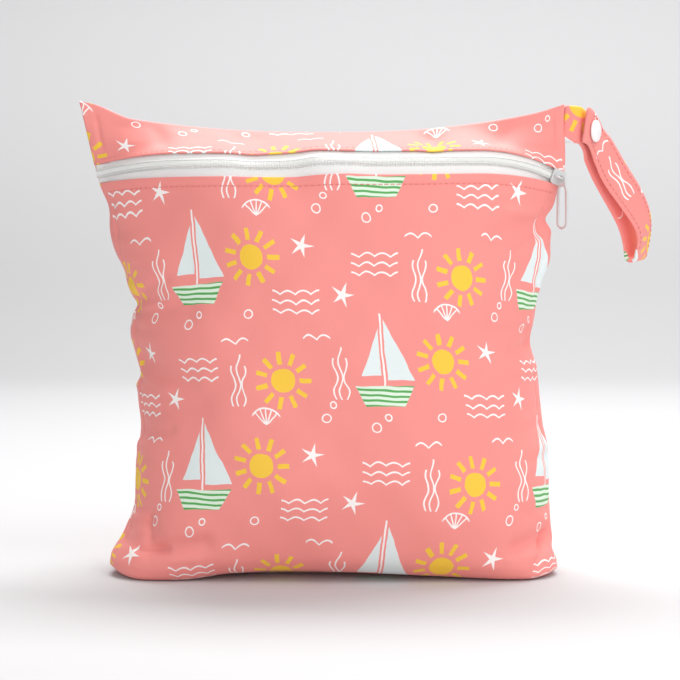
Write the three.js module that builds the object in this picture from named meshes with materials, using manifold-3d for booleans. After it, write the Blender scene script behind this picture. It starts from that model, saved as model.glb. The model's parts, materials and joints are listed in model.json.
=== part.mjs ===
// Stuffed waterproof zip pouch that stands on its base, with a snapped wrist strap at its right seam.
// Millimetres. +X is the viewer's right, +Y the back, +Z up, and the origin is on the floor under the pouch.
import * as THREE from "three";
import Module from "manifold-3d";

const wasm = await Module();
wasm.setup();

// Driving sizes
const CLOTH = 1.5; // wall of laminated cloth
const GAP = 0.3; // clearance between neighbouring pieces
const SEAM_EDGE = 1.2; // cloth on each side of a pressed seam
const SEAM_FORWARD = 14; // how far before the side seams' plane the bottom seam lies
const EAR_FORWARD = 9; // and how much further at the two bottom corners
const EAR_FROM = 60; // distance from the middle where the corners begin
const EAR_TO = 118;
const SEAM_STRAIGHT = 120; // height where the side seams reach their plane
const BASE_ARCH = 5; // lift of the base's front edge between the corners
const ARCH_AT = -15; // middle of that lift
const ARCH_SPREAD = 75;
const ARCH_LEFT_FROM = -84; // the lift begins sharply beside the left corner
const ARCH_LEFT_TO = -54;
const ARCH_FROM = 18; // distance in front of the side seams' plane where the lift begins
const ARCH_TO = 44;
const BASE_FADE = 14; // height over which folds fade out above the flat base
const FOLD_EDGE = 0.94; // share across from which folds fade out to the side seams
const FOLD_TOP = 9.7; // level from which folds fade out to the top seam
const PRESSED_FROM = 0.3; // levels over which the side seam becomes a pressed edge
const PRESSED_TO = 2;
const BOXY_FLATNESS = 1.6; // how far a boxy section is flattened in front
const BOXY_SHOULDER = 0.42; // and how round it is at its sides

// Levels up the pouch, counted from the bottom seam
const BOTTOM_LEVEL = 0;
const HEM_LEVEL = 8;
const STRIP_LEVEL = 9;
const TOP_LEVEL = 10;
const FRONT = -1;
const BACK = 1;

// One row a level: how far the front and back stand off the seam and how high they are on the centre line,
// where the side seams run, how far the right seam drops, how boxy the section is, from which share of the
// half width the cloth climbs to its side seam, how much it rises from the centre line to the right and falls
// to the left, how much of the left climb is held back to a blunt peak at its end, and how many grid rows lie
// between this level and the next.
const PROFILE_COLUMNS = [
  "frontDepth", "frontZ", "backDepth", "backZ", "seamZ", "left", "right",
  "rightDrop", "boxy", "climbFrom", "tilt", "leftPeak", "rows",
];
const PROFILE = [
  [0, 0, 0, 0, 4, 119, 121, 2, 1.2, 0.84, 0, 0, 2],
  [26, 0, 58, 0, 6, 123, 125, 2, 1.2, 0.84, 0, 0, 2],
  [37, 6, 62.5, 7, 11, 122.5, 124.5, 2, 1.1, 0.8, 0, 0, 3],
  [47, 25, 62.5, 26, 25, 115, 122, 0, 0.95, 0.5, 0, 0, 5],
  [57, 62, 59.5, 63, 58, 109, 120.5, 0, 0.8, 0.3, 0, 0, 5],
  [59, 105, 57, 106, 100, 109, 116, 0, 0.7, 0.3, 0, 0, 5],
  [57, 148, 54, 148, 140, 112.5, 113.5, 0, 0.65, 0.3, 0, 0, 5],
  [52.5, 189, 46, 189, 178, 121.5, 120, 0, 0.5, 0.4, 0, 0, 3],
  [45, 219.8, 36, 217, 215, 129.5, 126, 1, 0.32, 0.62, 1.3, 0, 2],
  [34.5, 233.2, 27, 229, 225.5, 132, 129.5, 4.5, 0.2, 0.62, 1.3, 0, 4],
  [0.4, 243.7, 0.4, 243.7, 260.8, 140, 133.5, 2, 0, 0.1, 0, 0.27, 0],
];
const PEAK_FROM = 0.78; // shares of the half width over which the left peak rises
const PEAK_TO = 0.955;

// Dents and ridges, each along a line in the front view: face, both ends, half width, and rise off the cloth
const FOLD_COLUMNS = ["face", "x0", "z0", "x1", "z1", "halfWidth", "rise"];
const FOLDS = [
  [FRONT, -99, 17, -69, 22, 5, -2.6],
  [FRONT, -100, 31, -97, 20, 6, -2.6],
  [FRONT, -105, 152, -79, 147, 7, -3],
  [FRONT, -103, 116, -79, 111, 7, -2.6],
  [FRONT, -100, 89, -73, 97, 9, -1.8],
  [FRONT, -92, 199, -71, 167, 20, -2.6],
  [FRONT, 115, 194, 90, 186, 7, -2.8],
  [FRONT, 107, 132, 85, 135, 8, -1.8],
  [FRONT, 117, 23, 101, 18, 5, -3],
  [FRONT, -42, 228, -20, 221, 11, -2.2],
  [FRONT, -8, 228, 8, 222, 10, 1.8],
  [FRONT, 52, 246, 55, 240, 6, -2.4],
  [BACK, -104, 142, -70, 150, 9, -3],
  [BACK, 106, 114, 74, 106, 9, -3],
  [BACK, -20, 204, 30, 197, 14, -3],
  [BACK, -80, 18, -40, 22, 6, -2],
];

// Places where a side seam is drawn in: side, height, how far, spread along the seam, reach into the panels
const PUCKER_COLUMNS = ["side", "z", "draw", "spread", "reach"];
const PUCKERS = [
  [-1, 202, 2.6, 9, 9],
  [-1, 166, 0.8, 8, 9],
  [-1, 150, 3.4, 9, 12],
  [-1, 112, 1.2, 8, 12],
  [-1, 80, 2, 12, 12],
  [-1, 36, 1.4, 8, 12],
  [1, 193, 2.6, 8, 12],
  [1, 171, -1.6, 10, 9],
  [1, 127, 3.2, 10, 12],
  [1, 14, 1.4, 4, 9],
];

// Cloth grids: columns across
const FRONT_COLUMNS = 34;
const BACK_COLUMNS = 26;
const TAPE_COLUMNS = 36;
const SECTION_STEPS = 48; // steps that measure a section's outline
const EDGE_CROWDING = 0.25; // how much closer the columns stand near the side seams
const STEP_ACROSS = 2e-3; // steps for the cloth's normals
const STEP_LEVEL = 4e-3;

// Zip
const TAPE = 0.8;
const TAPE_RECESS = CLOTH + 3 * GAP; // tapes lie behind the hems
const TAPE_TUCK = 4; // how far a tape runs behind its hem
const TAPE_CLEAR = 2 * GAP; // tape from the hem where it doesn't tuck
const HEM_STEP = 0.2; // levels over which the cloth by a hem is measured
const COIL_WIDTH = 6;
const COIL_HEIGHT = 2.4;
const COIL_SEAT = 1.5 * GAP; // coil over the tapes
const COIL_SIDES = 6;
const TAPE_FREE_FROM = 0.86; // from here to the seams a tape tucks less and less behind its hem
const TAPE_RISE_FROM = 0.94; // and from here to the left seam it comes up to the outer surface
const TAPE_LEFT = 0.992;
const TAPE_RIGHT = 0.955;
const COIL_LEFT = 0.985;
const COIL_RIGHT = 0.95;
const ZIP_LEVEL = (HEM_LEVEL + STRIP_LEVEL) / 2;

// Slider and pull
const SLIDER_AT = 0.965; // share of the half cloth where the slider stands
const SLIDER_LENGTH = 9.6;
const SLIDER_WIDTH = 8.6;
const SLIDER_NOSE = 5.6;
const SLIDER_PLATE = 1.1;
const SLIDER_POST = 1.4; // radius of the post between the plates
const SLIDER_POST_AT = 2.3; // post from the slider's middle
const KEEL_SHARE = 0.7; // size of the inner plate beside the outer one
const KEEL_CLEAR = 3 * GAP; // inner plate from the tapes
const BAIL_BAR = 0.65; // radius of the bail's bar
const BAIL_RISE = 3.1; // bar centre over the top plate
const BAIL_SPAN = 3.4; // feet from the middle
const PULL_WIDTH = 8;
const PULL_NECK = 5;
const PULL_LENGTH = 28;
const PULL_PLATE = 1.2;
const PULL_EYE = 1.6; // radius of the eye
const PULL_ARM = 1.5;
const PULL_SHOULDER = 8; // where the plate reaches its full width
const PULL_BEND = 0.65; // share of that length where its outline bends
const PULL_SLOT_FROM = 6.4; // middle of the slot's upper end under the eye
const PULL_SLOT_NARROW = 2; // radius of that end
const EYE_CLEAR = 2 * GAP; // eye over the bar

// Wrist strap: a row a station along its base layer
const STRAP_WIDTH = 20;
const STRAP = 2.2;
const STRAP_BASE = new THREE.Vector3(133.4, 0, 248);
const STRAP_COLUMNS = ["along", "droop", "heading", "layerGap"];
const STRAP_STATIONS = [
  [0, 4, 0, 4.4],
  [2, 7, 10, 4.4],
  [6, 16, 60, 4.4],
  [13, 32, 60, 4.4],
  [20, 46, 60, 4.4],
  [28, 50, 47, 6],
  [44, 53, 39, 7],
  [62, 51, 45, 9],
  [80, 60, 56, 10],
  [100, 88, 72, 7.8],
];
const STRAP_FREE_END = 4.5; // the top layer's free end, along the base layer
const STRAP_STEPS = 26; // steps along each layer
const STRAP_FOLD_STEPS = 8;
const STRAP_WALK = 0.25; // step of the walk along the base layer

// Snap
const SNAP_AT = 13; // along the strap's base layer
const SNAP_RADIUS = 6.2;
const SNAP_RIM = 0.7;
const SNAP_DOME = 2.7;
const SNAP_POST_RADIUS = 4.5;
const SNAP_SIDES = 20;
const DOME_STEPS = 5;

// Colours
const CLOTH_COLOUR = 0xef9d98;
const TAPE_COLOUR = 0xf4f4f1;
const WHITE_METAL = 0xf2f2f0;
const SNAP_COLOUR = 0xf8f5f5;

// Smooth curve through evenly spaced values that never overshoots them
function monotoneCurve(values) {
  const last = values.length - 1;
  const slope = values.slice(1).map((value, i) => value - values[i]);
  const tangent = values.map((value, i) => {
    if (i === 0) return slope[0];
    if (i === last) return slope[last - 1];
    const product = slope[i - 1] * slope[i];
    return product <= 0 ? 0 : (2 * product) / (slope[i - 1] + slope[i]);
  });
  return (at) => {
    const i = Math.min(Math.max(Math.floor(at), 0), last - 1);
    const s = at - i;
    const rest = 1 - s;
    return (
      values[i] * (1 + 2 * s) * rest * rest +
      tangent[i] * s * rest * rest +
      values[i + 1] * s * s * (3 - 2 * s) -
      tangent[i + 1] * s * s * rest
    );
  };
}

function curvesOf(columns, rows) {
  return columns.map((name, i) => [name, monotoneCurve(rows.map((row) => row[i]))]);
}

function namedRows(columns, rows) {
  return rows.map((row) => Object.fromEntries(columns.map((name, i) => [name, row[i]])));
}

const profileCurves = curvesOf(PROFILE_COLUMNS, PROFILE);
const folds = namedRows(FOLD_COLUMNS, FOLDS);
const puckers = namedRows(PUCKER_COLUMNS, PUCKERS);

function profileAt(level) {
  return Object.fromEntries(profileCurves.map(([name, curve]) => [name, curve(level)]));
}

// Where the seam between front and back lies, at a place across and a height
function seamShift(x, z) {
  const forward = SEAM_FORWARD + EAR_FORWARD * smooth(EAR_FROM, EAR_TO, Math.abs(x));
  return -forward * Math.max(0, 1 - z / SEAM_STRAIGHT) ** 2;
}

// Lift of the base's front edge, which stands on its corners
function archLift(x, y, z) {
  const low = smooth(SEAM_STRAIGHT / 2, 0, z) * smooth(ARCH_LEFT_FROM, ARCH_LEFT_TO, x);
  return BASE_ARCH * bell(x - ARCH_AT, ARCH_SPREAD) * smooth(ARCH_FROM, ARCH_TO, -y) * low;
}

// Soft step from 0 to 1 between two values, which may fall as well as rise
function smooth(from, to, at) {
  const share = THREE.MathUtils.clamp((at - from) / (to - from), 0, 1);
  return share * share * (3 - 2 * share);
}

function bell(distance, width) {
  return Math.exp(-((distance / width) ** 2));
}

// Section of the cloth at a level, from 0 on the centre line to 1 at the seam: how far it stands off the seam
function sectionDepth(share, depth, boxy) {
  const flatness = 2 + BOXY_FLATNESS * boxy;
  const shoulder = 1 - BOXY_SHOULDER * boxy;
  return depth * Math.max(0, 1 - share ** flatness) ** shoulder;
}

// Share of the half width at a share of the cloth's half length, measured along the section
function shareOfWidth(across, halfWidth, depth, boxy) {
  const lengths = [0];
  let before = sectionDepth(0, depth, boxy);
  for (let i = 1; i <= SECTION_STEPS; i++) {
    const share = Math.sin(((i / SECTION_STEPS) * Math.PI) / 2);
    const shareBefore = Math.sin((((i - 1) / SECTION_STEPS) * Math.PI) / 2);
    const here = sectionDepth(share, depth, boxy);
    lengths.push(lengths[i - 1] + Math.hypot((share - shareBefore) * halfWidth, here - before));
    before = here;
  }
  const wanted = Math.abs(across) * lengths[SECTION_STEPS];
  let i = 1;
  while (i < SECTION_STEPS && lengths[i] < wanted) i++;
  const part = (wanted - lengths[i - 1]) / (lengths[i] - lengths[i - 1]);
  const share = Math.sin((((i - 1 + part) / SECTION_STEPS) * Math.PI) / 2);
  return Math.sign(across) * share;
}

// Point of the smooth pouch on one face, at a share across (-1 left seam to 1 right seam) and a level
function smoothPoint(face, across, level) {
  const row = profileAt(level);
  const depth = face === FRONT ? row.frontDepth : row.backDepth;
  const middleZ = face === FRONT ? row.frontZ : row.backZ;
  const halfWidth = (row.left + row.right) / 2;
  const share = shareOfWidth(across, halfWidth, depth, row.boxy);
  const side = Math.abs(share);
  const evenClimb = Math.max(0, (side - row.climbFrom) / (1 - row.climbFrom)) ** 2;
  const heldBack = share < 0 ? row.leftPeak : 0;
  const climb = evenClimb + heldBack * (smooth(PEAK_FROM, PEAK_TO, side) - evenClimb);
  const seamZ = row.seamZ - (share > 0 ? row.rightDrop : 0);
  const edge = SEAM_EDGE * smooth(PRESSED_FROM, PRESSED_TO, level);
  const z = middleZ + (seamZ - middleZ) * climb + row.tilt * share * (1 - climb);
  let x = (row.right - row.left) / 2 + share * halfWidth;
  for (const pucker of puckers) {
    const fromSeam = (1 - Math.abs(across)) * halfWidth;
    const near = bell(z - pucker.z, pucker.spread) * bell(fromSeam, pucker.reach);
    if (pucker.side * across > 0) x -= pucker.side * pucker.draw * near;
  }
  const y = seamShift(x, z) + face * (GAP / 2 + edge + sectionDepth(side, depth, row.boxy));
  return new THREE.Vector3(x, y, z + archLift(x, y, z));
}

function normalOf(surface, face, across, level) {
  const a = Math.min(Math.max(across, STEP_ACROSS - 1), 1 - STEP_ACROSS);
  const l = Math.min(Math.max(level, STEP_LEVEL), TOP_LEVEL - STEP_LEVEL);
  const alongX = surface(face, a + STEP_ACROSS, l).sub(surface(face, a - STEP_ACROSS, l));
  const alongZ = surface(face, a, l + STEP_LEVEL).sub(surface(face, a, l - STEP_LEVEL));
  return alongX.cross(alongZ).multiplyScalar(-face).normalize();
}

function distanceToLine(x, z, fold) {
  const dx = fold.x1 - fold.x0;
  const dz = fold.z1 - fold.z0;
  const along = ((x - fold.x0) * dx + (z - fold.z0) * dz) / (dx * dx + dz * dz);
  const t = Math.min(Math.max(along, 0), 1);
  return Math.hypot(x - fold.x0 - t * dx, z - fold.z0 - t * dz);
}

// Point of the pouch with its folds, which fade out at the seams and on the flat base
function clothPoint(face, across, level) {
  const point = smoothPoint(face, across, level);
  let rise = 0;
  for (const fold of folds) {
    if (fold.face === face) rise += fold.rise * bell(distanceToLine(point.x, point.z, fold), fold.halfWidth);
  }
  const inside = smooth(1, FOLD_EDGE, Math.abs(across)) * smooth(TOP_LEVEL, FOLD_TOP, level);
  const fade = smooth(0, BASE_FADE, point.z) * inside;
  return point.addScaledVector(normalOf(smoothPoint, face, across, level), rise * fade);
}

// Cloth at a depth under the outer surface, kept on its own side of the seam
function clothUnder(face, across, level, depth) {
  const point = clothPoint(face, across, level);
  point.addScaledVector(normalOf(clothPoint, face, across, level), -depth);
  point.z = Math.max(point.z, 0);
  const seamY = seamShift(point.x, point.z) + face * (GAP / 2);
  point.y = face === FRONT ? Math.min(point.y, seamY) : Math.max(point.y, seamY);
  return point;
}

// A box bent into a wall: place gets a share across (-1 to 1), a share up (0 to 1) and the layer, 0 for the
// outer one and 1 for the inner one
function bentWall(columns, rows, place) {
  const geometry = new THREE.BoxGeometry(1, 1, 1, columns, rows, 1);
  const corners = geometry.attributes.position;
  for (let i = 0; i < corners.count; i++) {
    const layer = corners.getZ(i) > 0 ? 0 : 1;
    const point = place(corners.getX(i) * 2, corners.getY(i) + 0.5, layer);
    corners.setXYZ(i, point.x, point.y, point.z);
  }
  geometry.computeVertexNormals();
  return geometry;
}

function crowded(share) {
  return share * (1 + EDGE_CROWDING - EDGE_CROWDING * share * share);
}

// Levels of the grid rows, so that neighbouring panels share the rows along their seam
function rowLevels(fromLevel, toLevel) {
  const rowsOf = PROFILE_COLUMNS.indexOf("rows");
  const levels = [];
  for (let level = fromLevel; level < toLevel; level++) {
    const rows = PROFILE[level][rowsOf];
    for (let i = 0; i < rows; i++) levels.push(level + i / rows);
  }
  return [...levels, toLevel];
}

function panel(face, fromLevel, toLevel, columns) {
  const levels = rowLevels(fromLevel, toLevel);
  const rows = levels.length - 1;
  return bentWall(columns, rows, (across, upward, layer) => {
    return clothUnder(face, -face * crowded(across), levels[Math.round(upward * rows)], layer * CLOTH);
  });
}

function material(colour, roughness, metalness) {
  return new THREE.MeshStandardMaterial({ color: colour, roughness, metalness, side: THREE.DoubleSide });
}

const part = new THREE.Group();

function add(name, geometry, surface, parent = part) {
  const mesh = new THREE.Mesh(geometry, surface);
  mesh.name = name;
  parent.add(mesh);
  return mesh;
}

// Cloth walls
add("front_panel", panel(FRONT, BOTTOM_LEVEL, HEM_LEVEL, FRONT_COLUMNS), material(CLOTH_COLOUR, 0.75, 0));
add("top_panel", panel(FRONT, STRIP_LEVEL, TOP_LEVEL, FRONT_COLUMNS), material(CLOTH_COLOUR, 0.75, 0));
add("back_panel", panel(BACK, BOTTOM_LEVEL, TOP_LEVEL, BACK_COLUMNS), material(CLOTH_COLOUR, 0.75, 0));

// Zip tapes: each runs from the middle of the zip to behind its hem
function levelsPerLength(fromLevel, toLevel) {
  const length = clothPoint(FRONT, 0, fromLevel).distanceTo(clothPoint(FRONT, 0, toLevel));
  return (toLevel - fromLevel) / length;
}

const bandLevels = levelsPerLength(HEM_LEVEL, STRIP_LEVEL);
const hemLevels = levelsPerLength(HEM_LEVEL - HEM_STEP, HEM_LEVEL);
const stripLevels = levelsPerLength(STRIP_LEVEL, STRIP_LEVEL + HEM_STEP);

function tapeRecess(across) {
  return TAPE_RECESS * smooth(TAPE_LEFT, TAPE_RISE_FROM, -across);
}

function tape(isUpper) {
  return bentWall(TAPE_COLUMNS, 1, (share, upward, layer) => {
    const spread = share < 0 ? TAPE_LEFT : TAPE_RIGHT;
    const across = spread * crowded(share);
    const tuck = smooth(TAPE_RISE_FROM, TAPE_FREE_FROM, Math.abs(across));
    const inner = ZIP_LEVEL + (isUpper ? 1 : -1) * (GAP / 2) * bandLevels;
    const shown = isUpper ? STRIP_LEVEL - TAPE_CLEAR * bandLevels : HEM_LEVEL + TAPE_CLEAR * bandLevels;
    const tucked = isUpper ? STRIP_LEVEL + TAPE_TUCK * stripLevels : HEM_LEVEL - TAPE_TUCK * hemLevels;
    const outer = shown + (tucked - shown) * tuck;
    const level = isUpper ? inner + (outer - inner) * upward : outer + (inner - outer) * upward;
    return clothUnder(FRONT, across, level, tapeRecess(across) + layer * TAPE);
  });
}

add("zip_tape_lower", tape(false), material(TAPE_COLOUR, 0.85, 0));
add("zip_tape_upper", tape(true), material(TAPE_COLOUR, 0.85, 0));

// Zip coil: a rounded ridge on the tapes
function coilChain() {
  const geometry = new THREE.CylinderGeometry(1, 1, 2, COIL_SIDES, TAPE_COLUMNS);
  const corners = geometry.attributes.position;
  for (let i = 0; i < corners.count; i++) {
    const share = -corners.getY(i);
    const across = share * (share < 0 ? COIL_LEFT : COIL_RIGHT);
    const level = ZIP_LEVEL + corners.getX(i) * (COIL_WIDTH / 2) * bandLevels;
    const lift = COIL_SEAT + (COIL_HEIGHT * (1 + corners.getZ(i))) / 2;
    const seat = clothPoint(FRONT, across, ZIP_LEVEL);
    const out = normalOf(clothPoint, FRONT, across, ZIP_LEVEL);
    const beside = clothPoint(FRONT, across, level).sub(seat);
    const point = seat.add(beside).addScaledVector(out, lift - tapeRecess(across));
    corners.setXYZ(i, point.x, point.y, point.z);
  }
  geometry.computeVertexNormals();
  return geometry;
}

add("zip_coil", coilChain(), material(TAPE_COLOUR, 0.5, 0));

// Slider frame: X runs along the zip to its closed end, Z stands off the pouch
const sliderSeat = clothPoint(FRONT, SLIDER_AT, ZIP_LEVEL);
const sliderOut = normalOf(clothPoint, FRONT, SLIDER_AT, ZIP_LEVEL);
const sliderAlong = clothPoint(FRONT, SLIDER_AT + STEP_ACROSS, ZIP_LEVEL).sub(sliderSeat).normalize();
sliderAlong.addScaledVector(sliderOut, -sliderAlong.dot(sliderOut)).normalize();
const sliderAside = sliderOut.clone().cross(sliderAlong);
const sliderFrame = new THREE.Matrix4().makeBasis(sliderAlong, sliderAside, sliderOut);
sliderFrame.setPosition(sliderSeat);

const coilTop = COIL_SEAT + COIL_HEIGHT - TAPE_RECESS;
const plateUnder = coilTop + GAP;
const plateTop = plateUnder + SLIDER_PLATE;
const keelTop = -TAPE_RECESS - TAPE - KEEL_CLEAR;
const keelUnder = keelTop - SLIDER_PLATE;
const bailHeight = plateTop + BAIL_RISE;

function sliderOutline() {
  const half = SLIDER_LENGTH / 2;
  const outline = new THREE.Shape();
  outline.moveTo(-half, -SLIDER_NOSE / 2);
  outline.quadraticCurveTo(-half, -SLIDER_WIDTH / 2, -half / 3, -SLIDER_WIDTH / 2);
  outline.lineTo(half / 2, -SLIDER_WIDTH / 2);
  outline.quadraticCurveTo(half, -SLIDER_WIDTH / 2, half, -SLIDER_NOSE / 2);
  outline.lineTo(half, SLIDER_NOSE / 2);
  outline.quadraticCurveTo(half, SLIDER_WIDTH / 2, half / 2, SLIDER_WIDTH / 2);
  outline.lineTo(-half / 3, SLIDER_WIDTH / 2);
  outline.quadraticCurveTo(-half, SLIDER_WIDTH / 2, -half, SLIDER_NOSE / 2);
  return outline;
}

function plate(from, to, size) {
  const geometry = new THREE.ExtrudeGeometry(sliderOutline(), {
    depth: to - from, bevelEnabled: false, curveSegments: 4,
  });
  return geometry.scale(size, size, 1).translate(0, 0, from);
}

function solidOf(geometry) {
  const flat = geometry.index ? geometry.toNonIndexed() : geometry;
  const points = flat.attributes.position.array;
  const triVerts = Uint32Array.from({ length: points.length / 3 }, (unused, i) => i);
  const mesh = new wasm.Mesh({ numProp: 3, vertProperties: new Float32Array(points), triVerts });
  mesh.merge();
  return new wasm.Manifold(mesh);
}

function geometryOf(solid) {
  const mesh = solid.getMesh();
  const geometry = new THREE.BufferGeometry();
  geometry.setAttribute("position", new THREE.BufferAttribute(mesh.vertProperties, mesh.numProp));
  geometry.setIndex(new THREE.BufferAttribute(mesh.triVerts, 1));
  geometry.computeVertexNormals();
  return geometry;
}

function sliderBody() {
  const postLength = plateTop - keelUnder - SLIDER_PLATE;
  const post = new THREE.CylinderGeometry(SLIDER_POST, SLIDER_POST, postLength, 12);
  post.rotateX(Math.PI / 2).translate(SLIDER_POST_AT, 0, keelUnder + (SLIDER_PLATE + postLength) / 2);
  const foot = plateTop - SLIDER_PLATE / 2;
  const bailLine = new THREE.CatmullRomCurve3([
    new THREE.Vector3(-BAIL_SPAN, 0, foot),
    new THREE.Vector3(-BAIL_SPAN, 0, plateTop + BAIL_RISE / 2),
    new THREE.Vector3(-BAIL_SPAN / 2, 0, bailHeight),
    new THREE.Vector3(BAIL_SPAN / 2, 0, bailHeight),
    new THREE.Vector3(BAIL_SPAN, 0, plateTop + BAIL_RISE / 2),
    new THREE.Vector3(BAIL_SPAN, 0, foot),
  ]);
  const ring = new THREE.Shape().absarc(0, 0, BAIL_BAR, 0, Math.PI * 2);
  const bail = new THREE.ExtrudeGeometry(ring, { steps: 10, curveSegments: 4, extrudePath: bailLine });
  const keel = plate(keelUnder, keelTop, KEEL_SHARE);
  const pieces = [keel, plate(plateUnder, plateTop, 1), post, bail].map(solidOf);
  return geometryOf(pieces.reduce((whole, piece) => whole.add(piece)));
}

const slider = new THREE.Group();
slider.applyMatrix4(sliderFrame);
part.add(slider);
add("zip_slider", sliderBody(), material(WHITE_METAL, 0.35, 0.2), slider);

// Pull: hangs straight down on the bail's bar and swings about a level line along the zip
const pullPivot = sliderOut.clone().multiplyScalar(bailHeight).add(sliderSeat);
const pullAxis = new THREE.Vector3(sliderAlong.x, sliderAlong.y, 0).normalize();
const up = new THREE.Vector3(0, 0, 1);

function pullPlate() {
  const eyeDrop = PULL_EYE - BAIL_BAR - EYE_CLEAR;
  const neck = PULL_NECK / 2;
  const half = PULL_WIDTH / 2;
  const outline = new THREE.Shape();
  outline.absarc(0, -eyeDrop, neck, 0, Math.PI, false);
  const bend = PULL_BEND * PULL_SHOULDER;
  outline.bezierCurveTo(-neck, -bend, -half, -bend, -half, -PULL_SHOULDER);
  outline.lineTo(-half, half - PULL_LENGTH);
  outline.absarc(0, half - PULL_LENGTH, half, Math.PI, Math.PI * 2, false);
  outline.lineTo(half, -PULL_SHOULDER);
  outline.bezierCurveTo(half, -bend, neck, -bend, neck, -eyeDrop);
  outline.holes.push(new THREE.Path().absarc(0, -eyeDrop, PULL_EYE, 0, Math.PI * 2, true));
  const slotRadius = half - PULL_ARM;
  const slot = new THREE.Path();
  slot.absarc(0, -PULL_SLOT_FROM, PULL_SLOT_NARROW, 0, Math.PI, false);
  slot.absarc(0, half - PULL_LENGTH, slotRadius, Math.PI, Math.PI * 2, false);
  outline.holes.push(slot);
  const geometry = new THREE.ExtrudeGeometry(outline, {
    depth: PULL_PLATE, bevelEnabled: false, curveSegments: 6,
  });
  return geometry.translate(0, 0, -PULL_PLATE / 2);
}

const pull = new THREE.Group();
pull.applyMatrix4(
  new THREE.Matrix4().makeBasis(up.clone().cross(pullAxis), up, pullAxis).setPosition(pullPivot),
);
part.add(pull);
add("zip_pull", pullPlate(), material(WHITE_METAL, 0.35, 0.2), pull);

// Wrist strap: the base layer is walked from the seam by its droop and heading, with the top layer over it
function strapCurve(name) {
  const column = STRAP_COLUMNS.indexOf(name);
  const curve = monotoneCurve(STRAP_STATIONS.map((row) => row[column]));
  return (along) => {
    const last = STRAP_STATIONS.length - 1;
    let i = 0;
    while (i < last - 1 && STRAP_STATIONS[i + 1][0] < along) i++;
    const share = (along - STRAP_STATIONS[i][0]) / (STRAP_STATIONS[i + 1][0] - STRAP_STATIONS[i][0]);
    return curve(i + Math.min(Math.max(share, 0), 1));
  };
}

const strapDroop = strapCurve("droop");
const strapHeading = strapCurve("heading");
const strapGap = strapCurve("layerGap");
const strapLength = STRAP_STATIONS[STRAP_STATIONS.length - 1][0];

// Direction along the strap, out of its face, and across its width, at a length along the base layer
function strapDirections(along) {
  const droop = THREE.MathUtils.degToRad(strapDroop(along));
  const heading = THREE.MathUtils.degToRad(strapHeading(along));
  const level = new THREE.Vector3(Math.cos(heading), Math.sin(heading), 0);
  const forward = level.clone().multiplyScalar(Math.cos(droop)).addScaledVector(up, -Math.sin(droop));
  const out = new THREE.Vector3(Math.sin(heading), -Math.cos(heading), 0);
  return { forward, out, wide: out.clone().cross(forward) };
}

function strapBase(along) {
  const steps = Math.max(1, Math.round(along / STRAP_WALK));
  const point = STRAP_BASE.clone();
  for (let i = 0; i < steps; i++) {
    point.addScaledVector(strapDirections(((i + 0.5) / steps) * along).forward, along / steps);
  }
  return point;
}

// A point of the strap's middle: along the base layer, off its face, and across its width
function strapPoint(along, off, wide) {
  const directions = strapDirections(along);
  return strapBase(along).addScaledVector(directions.out, off).addScaledVector(directions.wide, wide);
}

// The strap's run in the plane of length along and distance off the base layer: out, round the fold, and back
function strapRun() {
  const run = [];
  for (let i = 0; i <= STRAP_STEPS; i++) run.push([(strapLength * i) / STRAP_STEPS, 0]);
  const radius = strapGap(strapLength) / 2;
  for (let i = 1; i < STRAP_FOLD_STEPS; i++) {
    const turn = (Math.PI * i) / STRAP_FOLD_STEPS;
    run.push([strapLength + radius * Math.sin(turn), radius - radius * Math.cos(turn)]);
  }
  for (let i = STRAP_STEPS; i >= 0; i--) {
    const along = STRAP_FREE_END + ((strapLength - STRAP_FREE_END) * i) / STRAP_STEPS;
    run.push([along, strapGap(along)]);
  }
  return run;
}

function strapBand() {
  const run = strapRun();
  const last = run.length - 1;
  return bentWall(last, 1, (share, upward, layer) => {
    const i = Math.round(((share + 1) / 2) * last);
    const before = run[Math.max(i - 1, 0)];
    const after = run[Math.min(i + 1, last)];
    const length = Math.hypot(after[0] - before[0], after[1] - before[1]);
    const lift = (0.5 - layer) * STRAP;
    const along = run[i][0] - (lift * (after[1] - before[1])) / length;
    const off = run[i][1] + (lift * (after[0] - before[0])) / length;
    return strapPoint(along, off, (upward - 0.5) * STRAP_WIDTH);
  });
}

add("wrist_strap", strapBand(), material(CLOTH_COLOUR, 0.75, 0));

// Snap: a domed cap on the free end, its fellow behind the base layer, and the plain post between the layers
function domeCap() {
  const profile = [new THREE.Vector2(0, 0), new THREE.Vector2(SNAP_RADIUS, 0)];
  for (let i = 0; i < DOME_STEPS; i++) {
    const turn = ((Math.PI / 2) * i) / DOME_STEPS;
    const height = SNAP_RIM + (SNAP_DOME - SNAP_RIM) * Math.sin(turn);
    profile.push(new THREE.Vector2(SNAP_RADIUS * Math.cos(turn), height));
  }
  profile.push(new THREE.Vector2(0, SNAP_DOME));
  return new THREE.LatheGeometry(profile, SNAP_SIDES);
}

function snapGroup(off, facing) {
  const { forward, out } = strapDirections(SNAP_AT);
  const axis = out.clone().multiplyScalar(facing);
  const group = new THREE.Group();
  const place = new THREE.Matrix4().makeBasis(forward, axis, forward.clone().cross(axis));
  group.applyMatrix4(place.setPosition(strapPoint(SNAP_AT, off, 0)));
  part.add(group);
  return group;
}

const layersApart = strapGap(SNAP_AT);
const snapSeat = STRAP / 2 + GAP;
const postHeight = layersApart - 2 * snapSeat;
const post = new THREE.CylinderGeometry(SNAP_POST_RADIUS, SNAP_POST_RADIUS, postHeight, SNAP_SIDES);
add("snap_cap", domeCap(), material(SNAP_COLOUR, 0.25, 0), snapGroup(layersApart + snapSeat, 1));
add("snap_back_cap", domeCap(), material(SNAP_COLOUR, 0.25, 0), snapGroup(-snapSeat, -1));
add("snap_post", post, material(SNAP_COLOUR, 0.25, 0), snapGroup(layersApart / 2, 1));

export default part;
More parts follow.
